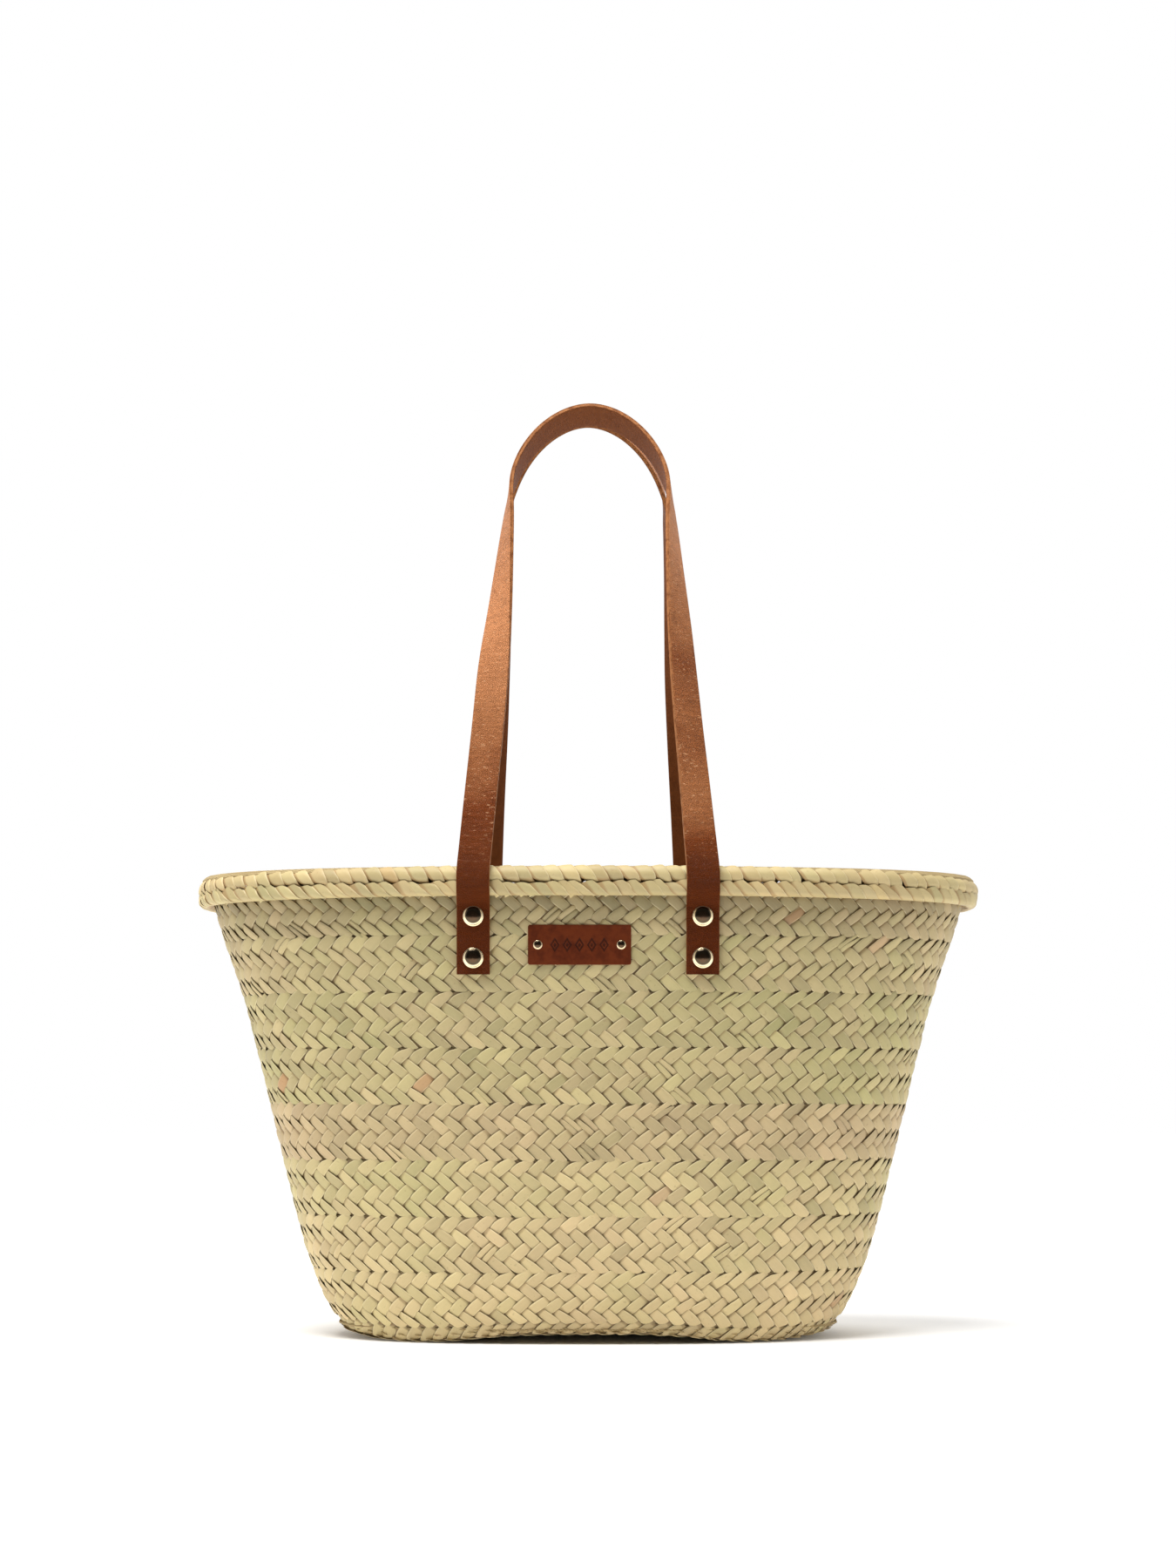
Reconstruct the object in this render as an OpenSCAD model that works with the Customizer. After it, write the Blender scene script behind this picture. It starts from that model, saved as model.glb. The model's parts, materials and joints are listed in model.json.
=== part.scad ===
// Oval market basket: plaited palm-leaf braid, coiled from a flat base into flaring walls
// and laced edge to edge, with a thick bound rim and two long leather shoulder handles.
// Origin: middle of the base, on the table. +Z is up, and the front faces -Y.

/* [Basket] */
// Overall width across the rim
rim_w = 534; // [480:2:600]
// Overall depth across the rim
rim_d = 256; // [230:2:280]
// Height to the top of the rim
basket_h = 311; // [290:1:330]
// Width of the base where it meets the table
base_w = 329; // [300:1:350]
// Depth of the base where it meets the table
base_d = 172; // [160:1:184]
// Roundness of the oval in plan: 2 is an ellipse, larger is squarer
oval_power = 2.5; // [2.2:0.1:3]

/* [Braid] */
// Thickness of the plaited braid
braid_t = 5; // [4:0.5:6]
// Width of the band of base braid that turns up at the edge
base_edge_h = 9; // [7:0.5:12]
// Size of the hidden lacing cord across its flats
lacing_d = 2; // [1.5:0.1:2.4]

/* [Rim] */
// Diameter of the bound upper bead
wrap_d = 13; // [11:0.5:14]
// Diameter of the fibre core inside the upper bead
core_d = 8; // [6:0.5:9]
// Height of the lower bead, folded from a narrow braid
welt_h = 9.5; // [8:0.5:10]

/* [Handles] */
// Overall height to the top of the handles
handle_top = 637; // [580:1:680]
// Distance between the two straps of a handle, on their centrelines
strap_spacing = 149; // [130:1:170]
// Width of the strap
strap_w = 21.5; // [18:0.5:24]
// Thickness of the strap
strap_t = 3; // [2:0.5:3.5]
// Half width of the arch at the top of a handle
arch_half_w = 54; // [45:1:62]
// Rise of the arch above its spring line
arch_rise = 50; // [40:1:60]

/* [Fittings] */
// Diameter of the domed rivet caps on the handles
cap_d = 13.5; // [11:0.5:15]
// Diameter of the rivet posts
post_d = 4; // [3:0.5:5]
// Width of the leather label
label_w = 67; // [50:1:80]
// Height of the leather label
label_h = 26; // [20:1:28]
// Diameter of the small rivets on the label
label_cap_d = 6; // [5:0.5:7]

/* [Hidden] */

palm = [0.80, 0.75, 0.56];
pale_palm = [0.90, 0.85, 0.68];
fibre = [0.70, 0.62, 0.42];
tan_leather = [0.55, 0.30, 0.16];
label_leather = [0.42, 0.20, 0.12];
pale_gold = [0.80, 0.72, 0.55];

segments = 48;      // flats round the oval
courses = 8;        // turns of braid in the wall
rim_overhang = 10;  // how far the rim stands out from the wall
fit_gap = 0.3;      // clearance between leather and the curved wall
margin = 1;         // how far a cutter reaches past what it cuts

// Heights up the wall
wall_top = basket_h - wrap_d;
top_course_h = 34;
course_h = (wall_top - top_course_h - base_edge_h) / (courses - 1);
function seam_z(k) = k < courses ? base_edge_h + k * course_h : wall_top;

// The wall rises steeply from a tucked-in foot, leans out evenly and flares under the rim.
// The rim stands straight up on it.
tuck_h = 30;
foot_tuck_w = 14;
foot_tuck_d = 7;
flare_w = 6;
flare_d = 3;
flare_power = 6;
function wall_half(z, base, tuck, flare, top) =
    let (foot = base + tuck, lean = (top - foot - flare) / wall_top, h = min(z, wall_top))
    foot + lean * h - tuck * exp(-h / tuck_h) + flare * pow(h / wall_top, flare_power);
function half_w(z) = wall_half(z, base_w / 2, foot_tuck_w, flare_w, rim_w / 2 - rim_overhang);
function half_d(z) = wall_half(z, base_d / 2, foot_tuck_d, flare_d, rim_d / 2 - rim_overhang);

// Points of the oval in plan
function signed_power(v) = sign(v) * pow(abs(v), 2 / oval_power);
function oval(a, b) = [
    for (i = [0:segments - 1])
    let (angle = 360 * i / segments)
    [a * signed_power(cos(angle)), b * signed_power(sin(angle))]
];
// Distance of the wall's outer face in front of the middle, at a place across the front
function wall_front(x, z) = half_d(z) * pow(1 - pow(abs(x) / half_w(z), oval_power), 1 / oval_power);

// A closed ring round the basket. Its section is a list of [distance outside the wall, height],
// counter-clockwise. The diagonals run the same way on faces that meet.
module ring(section) {
    n = len(section);
    ovals = [for (s = section) oval(half_w(s[1]) + s[0], half_d(s[1]) + s[0])];
    points = [
        for (i = [0:segments - 1], j = [0:n - 1])
        [ovals[j][i][0], ovals[j][i][1], section[j][1]]
    ];
    faces = [
        for (i = [0:segments - 1], j = [0:n - 1])
        let (
            i2 = (i + 1) % segments,
            j2 = (j + 1) % n,
            a = i * n + j,
            b = i2 * n + j,
            c = i2 * n + j2,
            d = i * n + j2,
            rising = section[j2][1] > section[j][1]
        )
        each rising ? [[a, c, b], [a, d, c]] : [[a, d, b], [b, d, c]]
    ];
    polyhedron(points, faces);
}

// Round section of a bead, with a flat under it
function bead_section(out, z, d, sides) = [
    for (i = [0:sides - 1])
    let (angle = 360 * (i + 0.5) / sides, r = d / 2 / cos(180 / sides))
    [out + r * cos(angle), z + r * sin(angle)]
];

// Base: a straight strip of braid and two turns round it, all lying flat
base_turns = 2;
flat_half_w = base_w / 2 - braid_t;
flat_half_d = base_d / 2 - braid_t;
base_braid_w = flat_half_d * 2 / (2 * base_turns + 1);
slot_w = lacing_d / 2;
slot_h = lacing_d;

module oval_slab(inset, z, h) {
    translate([0, 0, z])
        linear_extrude(h)
            polygon(oval(flat_half_w - inset, flat_half_d - inset));
}

// One flat turn with a slot along each edge for the lacing cord
module base_braid(outer, inner, slot_outer, slot_inner) {
    slot_z = (braid_t - slot_h) / 2;
    difference() {
        oval_slab(outer, 0, braid_t);
        if (inner > 0)
            oval_slab(inner, -margin, braid_t + 2 * margin);
        if (slot_outer)
            difference() {
                oval_slab(outer - margin, slot_z, slot_h);
                oval_slab(outer + slot_w, slot_z - margin, slot_h + 2 * margin);
            }
        if (slot_inner)
            oval_slab(inner - slot_w, slot_z, slot_h);
    }
}

module base_strip() {
    color(palm)
        base_braid(base_turns * base_braid_w, 0, true, false);
}

// Turn 1 is next to the strip, and turn 2 is outside it
module base_turn(k) {
    outer = (base_turns - k) * base_braid_w;
    color(palm)
        base_braid(outer, outer + base_braid_w, k < base_turns, true);
}

module base_lacing_cord() {
    color(fibre)
        for (k = [1:base_turns])
            difference() {
                oval_slab(k * base_braid_w - slot_w, (braid_t - slot_h) / 2, slot_h);
                oval_slab(k * base_braid_w + slot_w, 0, braid_t);
            }
}

// Wall: each course has a V groove along its laced edges, and the cord fills both
groove = lacing_d / 2;
mid_t = -braid_t / 2;

module base_edge() {
    color(palm)
        ring([
            [0, 0], [0, base_edge_h],
            [mid_t + groove, base_edge_h], [mid_t, base_edge_h - groove], [mid_t - groove, base_edge_h],
            [-braid_t, base_edge_h], [-braid_t, 0]
        ]);
}

module braid_course(k) {
    z0 = seam_z(k - 1);
    z1 = seam_z(k);
    ring(concat(
        k < courses ? [[0, z0], [0, z1]] : [[0, z0], [0, welt_z], [0, z1]],
        k < courses ? [[mid_t + groove, z1], [mid_t, z1 - groove], [mid_t - groove, z1]] : [],
        [[-braid_t, z1], [-braid_t, z0]],
        [[mid_t - groove, z0], [mid_t, z0 + groove], [mid_t + groove, z0]]
    ));
}

module wall_course(k) {
    color(palm)
        if (k >= courses - 1)
            difference() {
                braid_course(k);
                at_handle_rivets()
                    post_bore(post_d);
                at_label_rivets()
                    post_bore(label_post_d);
            }
        else
            braid_course(k);
}

module wall_lacing_cord() {
    color(fibre)
        for (k = [0:courses - 1]) {
            z = seam_z(k);
            ring([[mid_t + groove, z], [mid_t, z + groove], [mid_t - groove, z], [mid_t, z - groove]]);
        }
}

// Rim: a folded welt outside the top course, and a bound bead on top of both
bead_out = rim_overhang - wrap_d / 2;
bead_z = basket_h - wrap_d / 2;
bead_sides = 12;
core_sides = 8;
welt_out = rim_overhang - 1;
welt_chamfer = 2.5;
welt_z = wall_top - welt_h;

module rim_welt() {
    color(pale_palm)
        ring([
            [0, welt_z], [welt_out - 2 * welt_chamfer, welt_z],
            [welt_out, welt_z + 2 * welt_chamfer], [welt_out, wall_top - welt_chamfer],
            [welt_out - welt_chamfer, wall_top], [0, wall_top]
        ]);
}

module rim_core() {
    color(fibre)
        ring(bead_section(bead_out, bead_z, core_d, core_sides));
}

module rim_wrap() {
    color(pale_palm)
        difference() {
            ring(bead_section(bead_out, bead_z, wrap_d, bead_sides));
            ring(bead_section(bead_out, bead_z, core_d, core_sides));
        }
}

// Handles: each flexes on a line just outside the upper bead and leans in over the mouth,
// so that the two arches almost meet above the middle of the basket
strap_gap = 1;
hinge_rise = 0.5;
inner_edge = (strap_spacing - strap_w) / 2;
rim_front = rim_d / 2 * pow(1 - pow(inner_edge / (rim_w / 2), oval_power), 1 / oval_power);
hinge_out = rim_front + strap_gap + strap_t / 2;
hinge_z = bead_z + hinge_rise;
flex_gap = 4.5;
arch_gap = 1;
apex_tilt = 28.5;
apex_out = strap_w / 2 * cos(apex_tilt) + strap_t / 2 * sin(apex_tilt) + arch_gap;
apex_drop = strap_w / 2 * sin(apex_tilt) + strap_t / 2 * cos(apex_tilt);
rise = handle_top - apex_drop - hinge_z;
run = hinge_out - apex_out;
handle_lean = atan2(run, rise);
loop_h = norm([run, rise]);
spring_h = loop_h - arch_rise;
leg_steps = 20;
arch_steps = 16;
leg_curve = 1.15;
twist_power = 1.6;

// Stations along the loop, from the foot of the +X leg over the arch to the foot of the other:
// [across, up, twist], in the handle's own plane
leg = [
    for (i = [0:leg_steps - 1])
    let (f = i / leg_steps)
    [
        arch_half_w + (strap_spacing / 2 - arch_half_w) * pow(1 - f, leg_curve),
        spring_h * f,
        90 * pow(f, twist_power)
    ]
];
arch = [
    for (i = [0:arch_steps])
    let (angle = 180 * i / arch_steps)
    [
        arch_half_w * cos(angle),
        spring_h + arch_rise * sin(angle),
        90 + (apex_tilt - handle_lean) * sin(angle)
    ]
];
stations = concat(leg, arch, [for (i = [leg_steps - 1:-1:0]) [-leg[i][0], leg[i][1], leg[i][2]]]);

// Direction of travel at a station, straight up or down at the two feet
function unit(v) = v / norm(v);
function heading(i) =
    i == 0 ? [0, 1] :
    i == len(stations) - 1 ? [0, -1] :
    unit([for (k = [0, 1]) stations[i + 1][k] - stations[i - 1][k]]);

// The strap turns about its own centreline: its grain side faces forwards at the feet
// and away from the middle of the loop on the arch
function strap_corners(i) =
    let (
        t = heading(i),
        at = [stations[i][0], 0, stations[i][1]],
        twist = stations[i][2],
        across = [cos(twist) * t[1], sin(twist), -cos(twist) * t[0]] * strap_w / 2,
        grain = [sin(twist) * t[1], -cos(twist), -sin(twist) * t[0]] * strap_t / 2
    )
    [at + across + grain, at - across + grain, at - across - grain, at + across - grain];

module strap_loop() {
    last = len(stations) - 1;
    points = [for (i = [0:last]) each strap_corners(i)];
    sides = [
        for (i = [0:last - 1], j = [0:3])
        let (a = 4 * i + j, b = 4 * i + (j + 1) % 4)
        each [[a, b, a + 4], [b, b + 4, a + 4]]
    ];
    first_end = [[0, 3, 2], [0, 2, 1]];
    last_end = [for (f = [[0, 1, 2], [0, 2, 3]]) [for (v = f) v + 4 * last]];
    polyhedron(points, concat(sides, first_end, last_end));
}

module front_handle() {
    color(tan_leather)
        translate([0, -hinge_out, hinge_z])
            rotate([-handle_lean, 0, 0])
                strap_loop();
}

module back_handle() {
    rotate(180)
        front_handle();
}

// Riveted ends of the handles: flat on the wall, then out and up past the rim to the flex line
tab_foot_z = 239;
tab_bend_z = 284;
tab_top_bend_z = 294;
rivet_heights = [249.5, 276.5];
function tab_out(z) = wall_front(inner_edge, z) + fit_gap + strap_t / 2;
tab_slope = atan2(tab_out(tab_bend_z) - tab_out(tab_foot_z), tab_bend_z - tab_foot_z);
function tab_plane(z) = tab_out(tab_foot_z) + (z - tab_foot_z) * tan(tab_slope);
tab_line = [
    [tab_plane(tab_foot_z), tab_foot_z],
    [tab_plane(tab_bend_z), tab_bend_z],
    [hinge_out, tab_top_bend_z],
    [hinge_out, hinge_z - flex_gap]
];

// A line moved sideways by d, mitred at its bends
function left_of(v) = [-v[1], v[0]];
function line_normal(line, i) = left_of(unit(line[i + 1] - line[i]));
function moved(line, d) = [
    for (i = [0:len(line) - 1])
    let (
        before = line_normal(line, max(i - 1, 0)),
        after = line_normal(line, min(i, len(line) - 2)),
        mitre = unit(before + after)
    )
    line[i] + mitre * d / (mitre * before)
];

module strap_tab() {
    outside = moved(tab_line, -strap_t / 2);
    inside = moved(tab_line, strap_t / 2);
    profile = concat(outside, [for (i = [len(inside) - 1:-1:0]) inside[i]]);
    color(tan_leather)
        difference() {
            rotate([90, 0, 90])
                linear_extrude(strap_w, center = true)
                    polygon([for (p = profile) [-p[0], p[1]]]);
            for (z = rivet_heights)
                on_tab(z)
                    post_bore(post_d);
        }
}

module front_tab(side) {
    translate([side * strap_spacing / 2, 0, 0])
        strap_tab();
}

module back_tab(side) {
    rotate(180)
        front_tab(-side);
}

// Moves a rivet, drawn pointing up, to face out of the middle of the leather
module on_tab(z) {
    translate([0, -tab_plane(z), z])
        rotate([90 + tab_slope, 0, 0])
            children();
}

module at_handle_rivets() {
    for (turn = [0, 180], side = [-1, 1], z = rivet_heights)
        rotate(turn)
            translate([side * strap_spacing / 2, 0, 0])
                on_tab(z)
                    children();
}

// Rivets: a domed cap outside, a post through leather and braid, and a washer
// under the post's spread head inside. wall_bend allows for the curve of the wall behind a washer.
wall_bend = 1.5;
wall_back = strap_t / 2 + fit_gap + braid_t + wall_bend;
cap_h = 3.2;
cap_lip = 0.6;
washer_t = 1.2;
washer_d = 12;
head_t = 1;
head_d = 8;
bore_reach = 14;
post_sides = 32;
cap_sides = 48;
dome_sides = 96;

module post_bore(d) {
    translate([0, 0, -bore_reach])
        cylinder(h = 2 * bore_reach, d = d, $fn = post_sides);
}

module domed_cap(d, h, lip) {
    dome_h = h - lip;
    dome_r = (d * d / 4 + dome_h * dome_h) / (2 * dome_h);
    cylinder(h = lip, d = d, $fn = cap_sides);
    translate([0, 0, lip])
        intersection() {
            translate([0, 0, dome_h - dome_r])
                sphere(dome_r, $fn = dome_sides);
            cylinder(h = dome_h, d = d, $fn = cap_sides);
        }
}

module post(d, from, to, head) {
    translate([0, 0, from])
        cylinder(h = to - from, d = d, $fn = post_sides);
    translate([0, 0, from - head_t])
        cylinder(h = head_t, d = head, $fn = post_sides);
}

module handle_rivet_caps() {
    color(pale_gold)
        at_handle_rivets()
            translate([0, 0, strap_t / 2])
                domed_cap(cap_d, cap_h, cap_lip);
}

module handle_rivet_posts() {
    color(pale_gold)
        at_handle_rivets()
            post(post_d, -wall_back - washer_t, strap_t / 2, head_d);
}

module handle_rivet_washers() {
    color(pale_gold)
        at_handle_rivets()
            translate([0, 0, -wall_back - washer_t])
                difference() {
                    cylinder(h = washer_t, d = washer_d, $fn = cap_sides);
                    post_bore(post_d);
                }
}

// Label: a leather patch on the top of the front, held by two small rivets
label_x = -5.5;
label_z = 258;
label_t = 2;
label_corner = 1.2;
label_corner_sides = 32;
label_post_d = 2;
label_post_inset = 6.4;
label_cap_h = 1.6;
label_cap_lip = 0.4;
label_head_d = 5;
label_low = label_z - label_h / 2;
label_high = label_z + label_h / 2;
label_slope = atan2(wall_front(0, label_high) - wall_front(0, label_low), label_h);
label_out = wall_front(0, label_high) - tan(label_slope) * label_h / 2 + fit_gap;
label_wall_bend = 1;
label_back = fit_gap + braid_t + label_wall_bend;

// Moves something drawn flat, with its back at z = 0, to lie on the wall behind the label
module on_label() {
    translate([label_x, -label_out, label_z])
        rotate([90 + label_slope, 0, 0])
            children();
}

module at_label_rivets() {
    on_label()
        for (side = [-1, 1])
            translate([side * (label_w / 2 - label_post_inset), 0, 0])
                children();
}

module label_patch() {
    color(label_leather)
        difference() {
            on_label()
                linear_extrude(label_t) {
                    square([label_w - 2 * label_corner, label_h], center = true);
                    square([label_w, label_h - 2 * label_corner], center = true);
                    for (x = [-1, 1], y = [-1, 1])
                        translate([x * (label_w / 2 - label_corner), y * (label_h / 2 - label_corner)])
                            circle(label_corner, $fn = label_corner_sides);
                }
            at_label_rivets()
                post_bore(label_post_d);
        }
}

module label_rivet_caps() {
    color(pale_gold)
        at_label_rivets()
            translate([0, 0, label_t])
                domed_cap(label_cap_d, label_cap_h, label_cap_lip);
}

module label_rivet_posts() {
    color(pale_gold)
        at_label_rivets()
            post(label_post_d, -label_back, label_t, label_head_d);
}

base_strip();
base_turn(1);  // base_turn_1
base_turn(2);  // base_turn_2
base_edge();
base_lacing_cord();
wall_course(1);  // wall_course_1
wall_course(2);  // wall_course_2
wall_course(3);  // wall_course_3
wall_course(4);  // wall_course_4
wall_course(5);  // wall_course_5
wall_course(6);  // wall_course_6
wall_course(7);  // wall_course_7
wall_course(8);  // wall_course_8
wall_lacing_cord();
rim_welt();
rim_core();
rim_wrap();
front_handle();
back_handle();
front_tab(-1);  // front_left_tab
front_tab(1);  // front_right_tab
back_tab(-1);  // back_left_tab
back_tab(1);  // back_right_tab
handle_rivet_caps();
handle_rivet_posts();
handle_rivet_washers();
label_patch();
label_rivet_caps();
label_rivet_posts();
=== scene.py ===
import json
import math

import bpy
import numpy as np
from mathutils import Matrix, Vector


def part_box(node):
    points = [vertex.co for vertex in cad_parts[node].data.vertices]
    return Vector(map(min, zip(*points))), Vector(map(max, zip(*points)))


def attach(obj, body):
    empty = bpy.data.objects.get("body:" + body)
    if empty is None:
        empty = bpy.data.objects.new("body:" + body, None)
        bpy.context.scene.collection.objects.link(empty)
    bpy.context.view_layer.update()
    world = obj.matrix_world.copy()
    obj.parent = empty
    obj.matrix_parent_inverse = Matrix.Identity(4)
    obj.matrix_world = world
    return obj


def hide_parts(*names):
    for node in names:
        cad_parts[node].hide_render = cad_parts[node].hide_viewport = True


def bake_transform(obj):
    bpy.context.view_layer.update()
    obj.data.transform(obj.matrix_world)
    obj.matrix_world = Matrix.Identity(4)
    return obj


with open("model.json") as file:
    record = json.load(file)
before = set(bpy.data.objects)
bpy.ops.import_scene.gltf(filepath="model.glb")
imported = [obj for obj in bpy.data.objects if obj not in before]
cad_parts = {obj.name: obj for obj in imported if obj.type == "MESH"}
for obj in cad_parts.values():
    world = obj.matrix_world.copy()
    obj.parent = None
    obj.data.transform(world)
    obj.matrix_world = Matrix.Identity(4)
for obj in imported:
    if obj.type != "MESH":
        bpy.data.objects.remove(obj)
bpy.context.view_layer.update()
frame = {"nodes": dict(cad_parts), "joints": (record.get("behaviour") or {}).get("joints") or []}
MM = 0.001
rng = np.random.default_rng(12)


# ---------------------------------------------------------------- camera

CAMERA_DISTANCE = 2.0
CAMERA_HEIGHT = 0.157
CAMERA_TILT = math.radians(6.23)
CAMERA_LENS = 66.7

camera_data = bpy.data.cameras.new("camera")
camera_data.lens = CAMERA_LENS
camera_data.sensor_width = 36
camera_data.clip_end = 60
camera = bpy.data.objects.new("camera", camera_data)
camera.location = (0, -CAMERA_DISTANCE, CAMERA_HEIGHT)
camera.rotation_euler = (math.pi / 2 + CAMERA_TILT, 0, 0)
bpy.context.scene.collection.objects.link(camera)
bpy.context.scene.camera = camera


# ---------------------------------------------------------------- shape of the wall

COURSES = [f"wall_course_{k}" for k in range(1, 9)]
BRAID_T = 5 * MM
OVAL_POWER = 2.5    # the outline of the base, wall and rim; 2 is an ellipse
ROWS = 4            # rows of leaves across a turn of braid


def oval_xy(angle, a, b):
    """Points of the plan outline with half sizes a and b."""
    c, s = np.cos(angle), np.sin(angle)
    power = 2 / OVAL_POWER
    return a * np.sign(c) * np.abs(c) ** power, b * np.sign(s) * np.abs(s) ** power


def oval_normal(x, y, a, b):
    """Level outward normals of the outline at its own points."""
    nx = np.sign(x) * np.abs(x / a) ** (OVAL_POWER - 1) / a
    ny = np.sign(y) * np.abs(y / b) ** (OVAL_POWER - 1) / b
    size = np.hypot(nx, ny)
    return nx / size, ny / size


def run_table(a, b, steps=2880):
    """Angles round the outline, and the distance along it to each."""
    angle = np.linspace(0, 2 * math.pi, steps + 1)
    x, y = oval_xy(angle, a, b)
    run = np.concatenate([[0], np.cumsum(np.hypot(np.diff(x), np.diff(y)))])
    return angle, run


def curve_between(v0, slope0, v1, slope1, f):
    """A smooth curve from v0 to v1 as f goes from 0 to 1, with these slopes at its ends."""
    return (
        v0 * (2 * f**3 - 3 * f**2 + 1)
        + slope0 * (f**3 - 2 * f**2 + f)
        + v1 * (3 * f**2 - 2 * f**3)
        + slope1 * (f**3 - f**2)
    )


def seam_sizes():
    """Height, half width and half depth of the wall at the table and at the top of each course."""
    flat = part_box("base_turn_2")[1]
    sizes = [(0, flat[0] + BRAID_T, flat[1] + BRAID_T)]
    for node in ["base_edge"] + COURSES:
        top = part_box(node)[1]
        sizes.append((top[2], top[0], top[1]))
    return np.array(sizes)


SEAMS = seam_sizes()
WALL_TOP = SEAMS[-1, 0]
SLOPES = np.gradient(SEAMS[:, 1:], SEAMS[:, 0], axis=0)


# The upper courses stand out a little just under the rim
BELLY_W = 2.6 * MM
BELLY_D = 1.0 * MM
BELLY_Z = 272 * MM
BELLY_REACH = 30 * MM


def half_sizes(z):
    """Half width and half depth of the wall's outer face at heights z, smooth through the seams."""
    z = np.clip(z, 0, WALL_TOP)
    k = np.clip(np.searchsorted(SEAMS[:, 0], z, side="right") - 1, 0, len(SEAMS) - 2)
    z0, z1 = SEAMS[k, 0], SEAMS[k + 1, 0]
    step = z1 - z0
    f = (z - z0) / step
    found = []
    for c, belly in ((0, BELLY_W), (1, BELLY_D)):
        v0, v1 = SEAMS[k, c + 1], SEAMS[k + 1, c + 1]
        smooth = curve_between(v0, SLOPES[k, c] * step, v1, SLOPES[k + 1, c] * step, f)
        found.append(smooth + belly * np.exp(-(((z - BELLY_Z) / BELLY_REACH) ** 2)))
    return found


# The base is bowed: the middle of it and its two ends don't touch the table
LIFT = 5.5 * MM
LIFT_HALF_W = 78 * MM
END_LIFT = 6 * MM
END_FROM = 118 * MM
END_TO = 168 * MM
LIFT_FADE = 65 * MM
TABLE_GAP = 0.1 * MM


def lifted(x, z):
    """Heights with the bow of the base added. It fades up the wall."""
    fade = np.clip(1 - z / LIFT_FADE, 0, 1) ** 2
    ends = np.clip((np.abs(x) - END_FROM) / (END_TO - END_FROM), 0, 1)
    lift = LIFT * np.exp(-((x / LIFT_HALF_W) ** 4)) + END_LIFT * ends**2
    return np.maximum(z + lift * fade, TABLE_GAP)


def wall_point(angle, z, out):
    """Points on the wall: round the oval, up, and out along the wall's own normal."""
    a, b = half_sizes(z)
    x, y = oval_xy(angle, a, b)
    nx, ny = oval_normal(x, y, a, b)
    a2, b2 = half_sizes(z + MM)
    slope = (nx * x / a * (a2 - a) + ny * y / b * (b2 - b)) / MM
    slope = np.where(z > WALL_TOP - 2 * MM, 0, slope)
    size = np.sqrt(1 + slope**2)
    px, py = x + out * nx / size, y + out * ny / size
    return np.stack([px, py, lifted(px, z) - out * slope / size], axis=-1)


# ---------------------------------------------------------------- meshes

def mesh_object(name, points, faces, smooth=True, **values):
    """An object from arrays of points and quads or triangles, with values on its points."""
    mesh = bpy.data.meshes.new(name)
    faces = np.asarray(faces)
    n, size = faces.shape
    mesh.vertices.add(len(points))
    mesh.vertices.foreach_set("co", np.asarray(points, np.float32).ravel())
    mesh.loops.add(n * size)
    mesh.loops.foreach_set("vertex_index", faces.astype(np.int32).ravel())
    mesh.polygons.add(n)
    mesh.polygons.foreach_set("loop_start", np.arange(0, n * size, size, dtype=np.int32))
    mesh.polygons.foreach_set("loop_total", np.full(n, size, np.int32))
    mesh.polygons.foreach_set("use_smooth", np.full(n, smooth))
    for key, value in values.items():
        kind = "FLOAT_VECTOR" if value.ndim == 2 else "FLOAT"
        layer = mesh.attributes.new(key, kind, "POINT")
        layer.data.foreach_set("vector" if value.ndim == 2 else "value", value.astype(np.float32).ravel())
    mesh.update(calc_edges=True)
    mesh.validate()
    made = bpy.data.objects.new(name, mesh)
    bpy.context.scene.collection.objects.link(made)
    return made


def grid_faces(count, rows, columns, close_rows=False, flip=False):
    """Quads of count separate grids of rows by columns points; close_rows joins last row to first."""
    i = np.arange(rows if close_rows else rows - 1)
    j = np.arange(columns - 1)
    i, j = np.meshgrid(i, j, indexing="ij")
    i2 = (i + 1) % rows
    quad = [i * columns + j, i2 * columns + j, i2 * columns + j + 1, i * columns + j + 1]
    quad = np.stack(quad[::-1] if flip else quad, axis=-1).reshape(-1, 4)
    return (np.arange(count)[:, None, None] * rows * columns + quad).reshape(-1, 4)


class Sheaf:
    """Collects leaves, each a grid of points, into one mesh."""

    def __init__(self):
        self.points, self.faces, self.place, self.tint, self.end = [], [], [], [], []
        self.size = 0

    def add(self, grids, along, across, rel, end, tint, flip=False):
        """grids is (leaves, rows, columns, 3). along and across are in metres, rel runs from -1 to 1
        across a leaf, and end is the painted shade at each point: 1 where a leaf dives under others."""
        n, rows, columns = grids.shape[:3]
        self.points.append(grids.reshape(-1, 3))
        self.faces.append(grid_faces(n, rows, columns, flip=flip) + self.size)
        place = np.stack(np.broadcast_arrays(along, across, rel), axis=-1)
        self.place.append(np.broadcast_to(place, (n, rows, columns, 3)).reshape(-1, 3))
        self.tint.append(np.broadcast_to(tint[:, None, None, :], (n, rows, columns, 3)).reshape(-1, 3))
        self.end.append(np.broadcast_to(end, (n, rows, columns)).reshape(-1))
        self.size += n * rows * columns

    def build(self, name):
        return mesh_object(
            name,
            np.concatenate(self.points),
            np.concatenate(self.faces),
            leaf_place=np.concatenate(self.place),
            leaf_tint=np.concatenate(self.tint),
            leaf_end=np.concatenate(self.end),
        )


# ---------------------------------------------------------------- the plait

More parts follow.
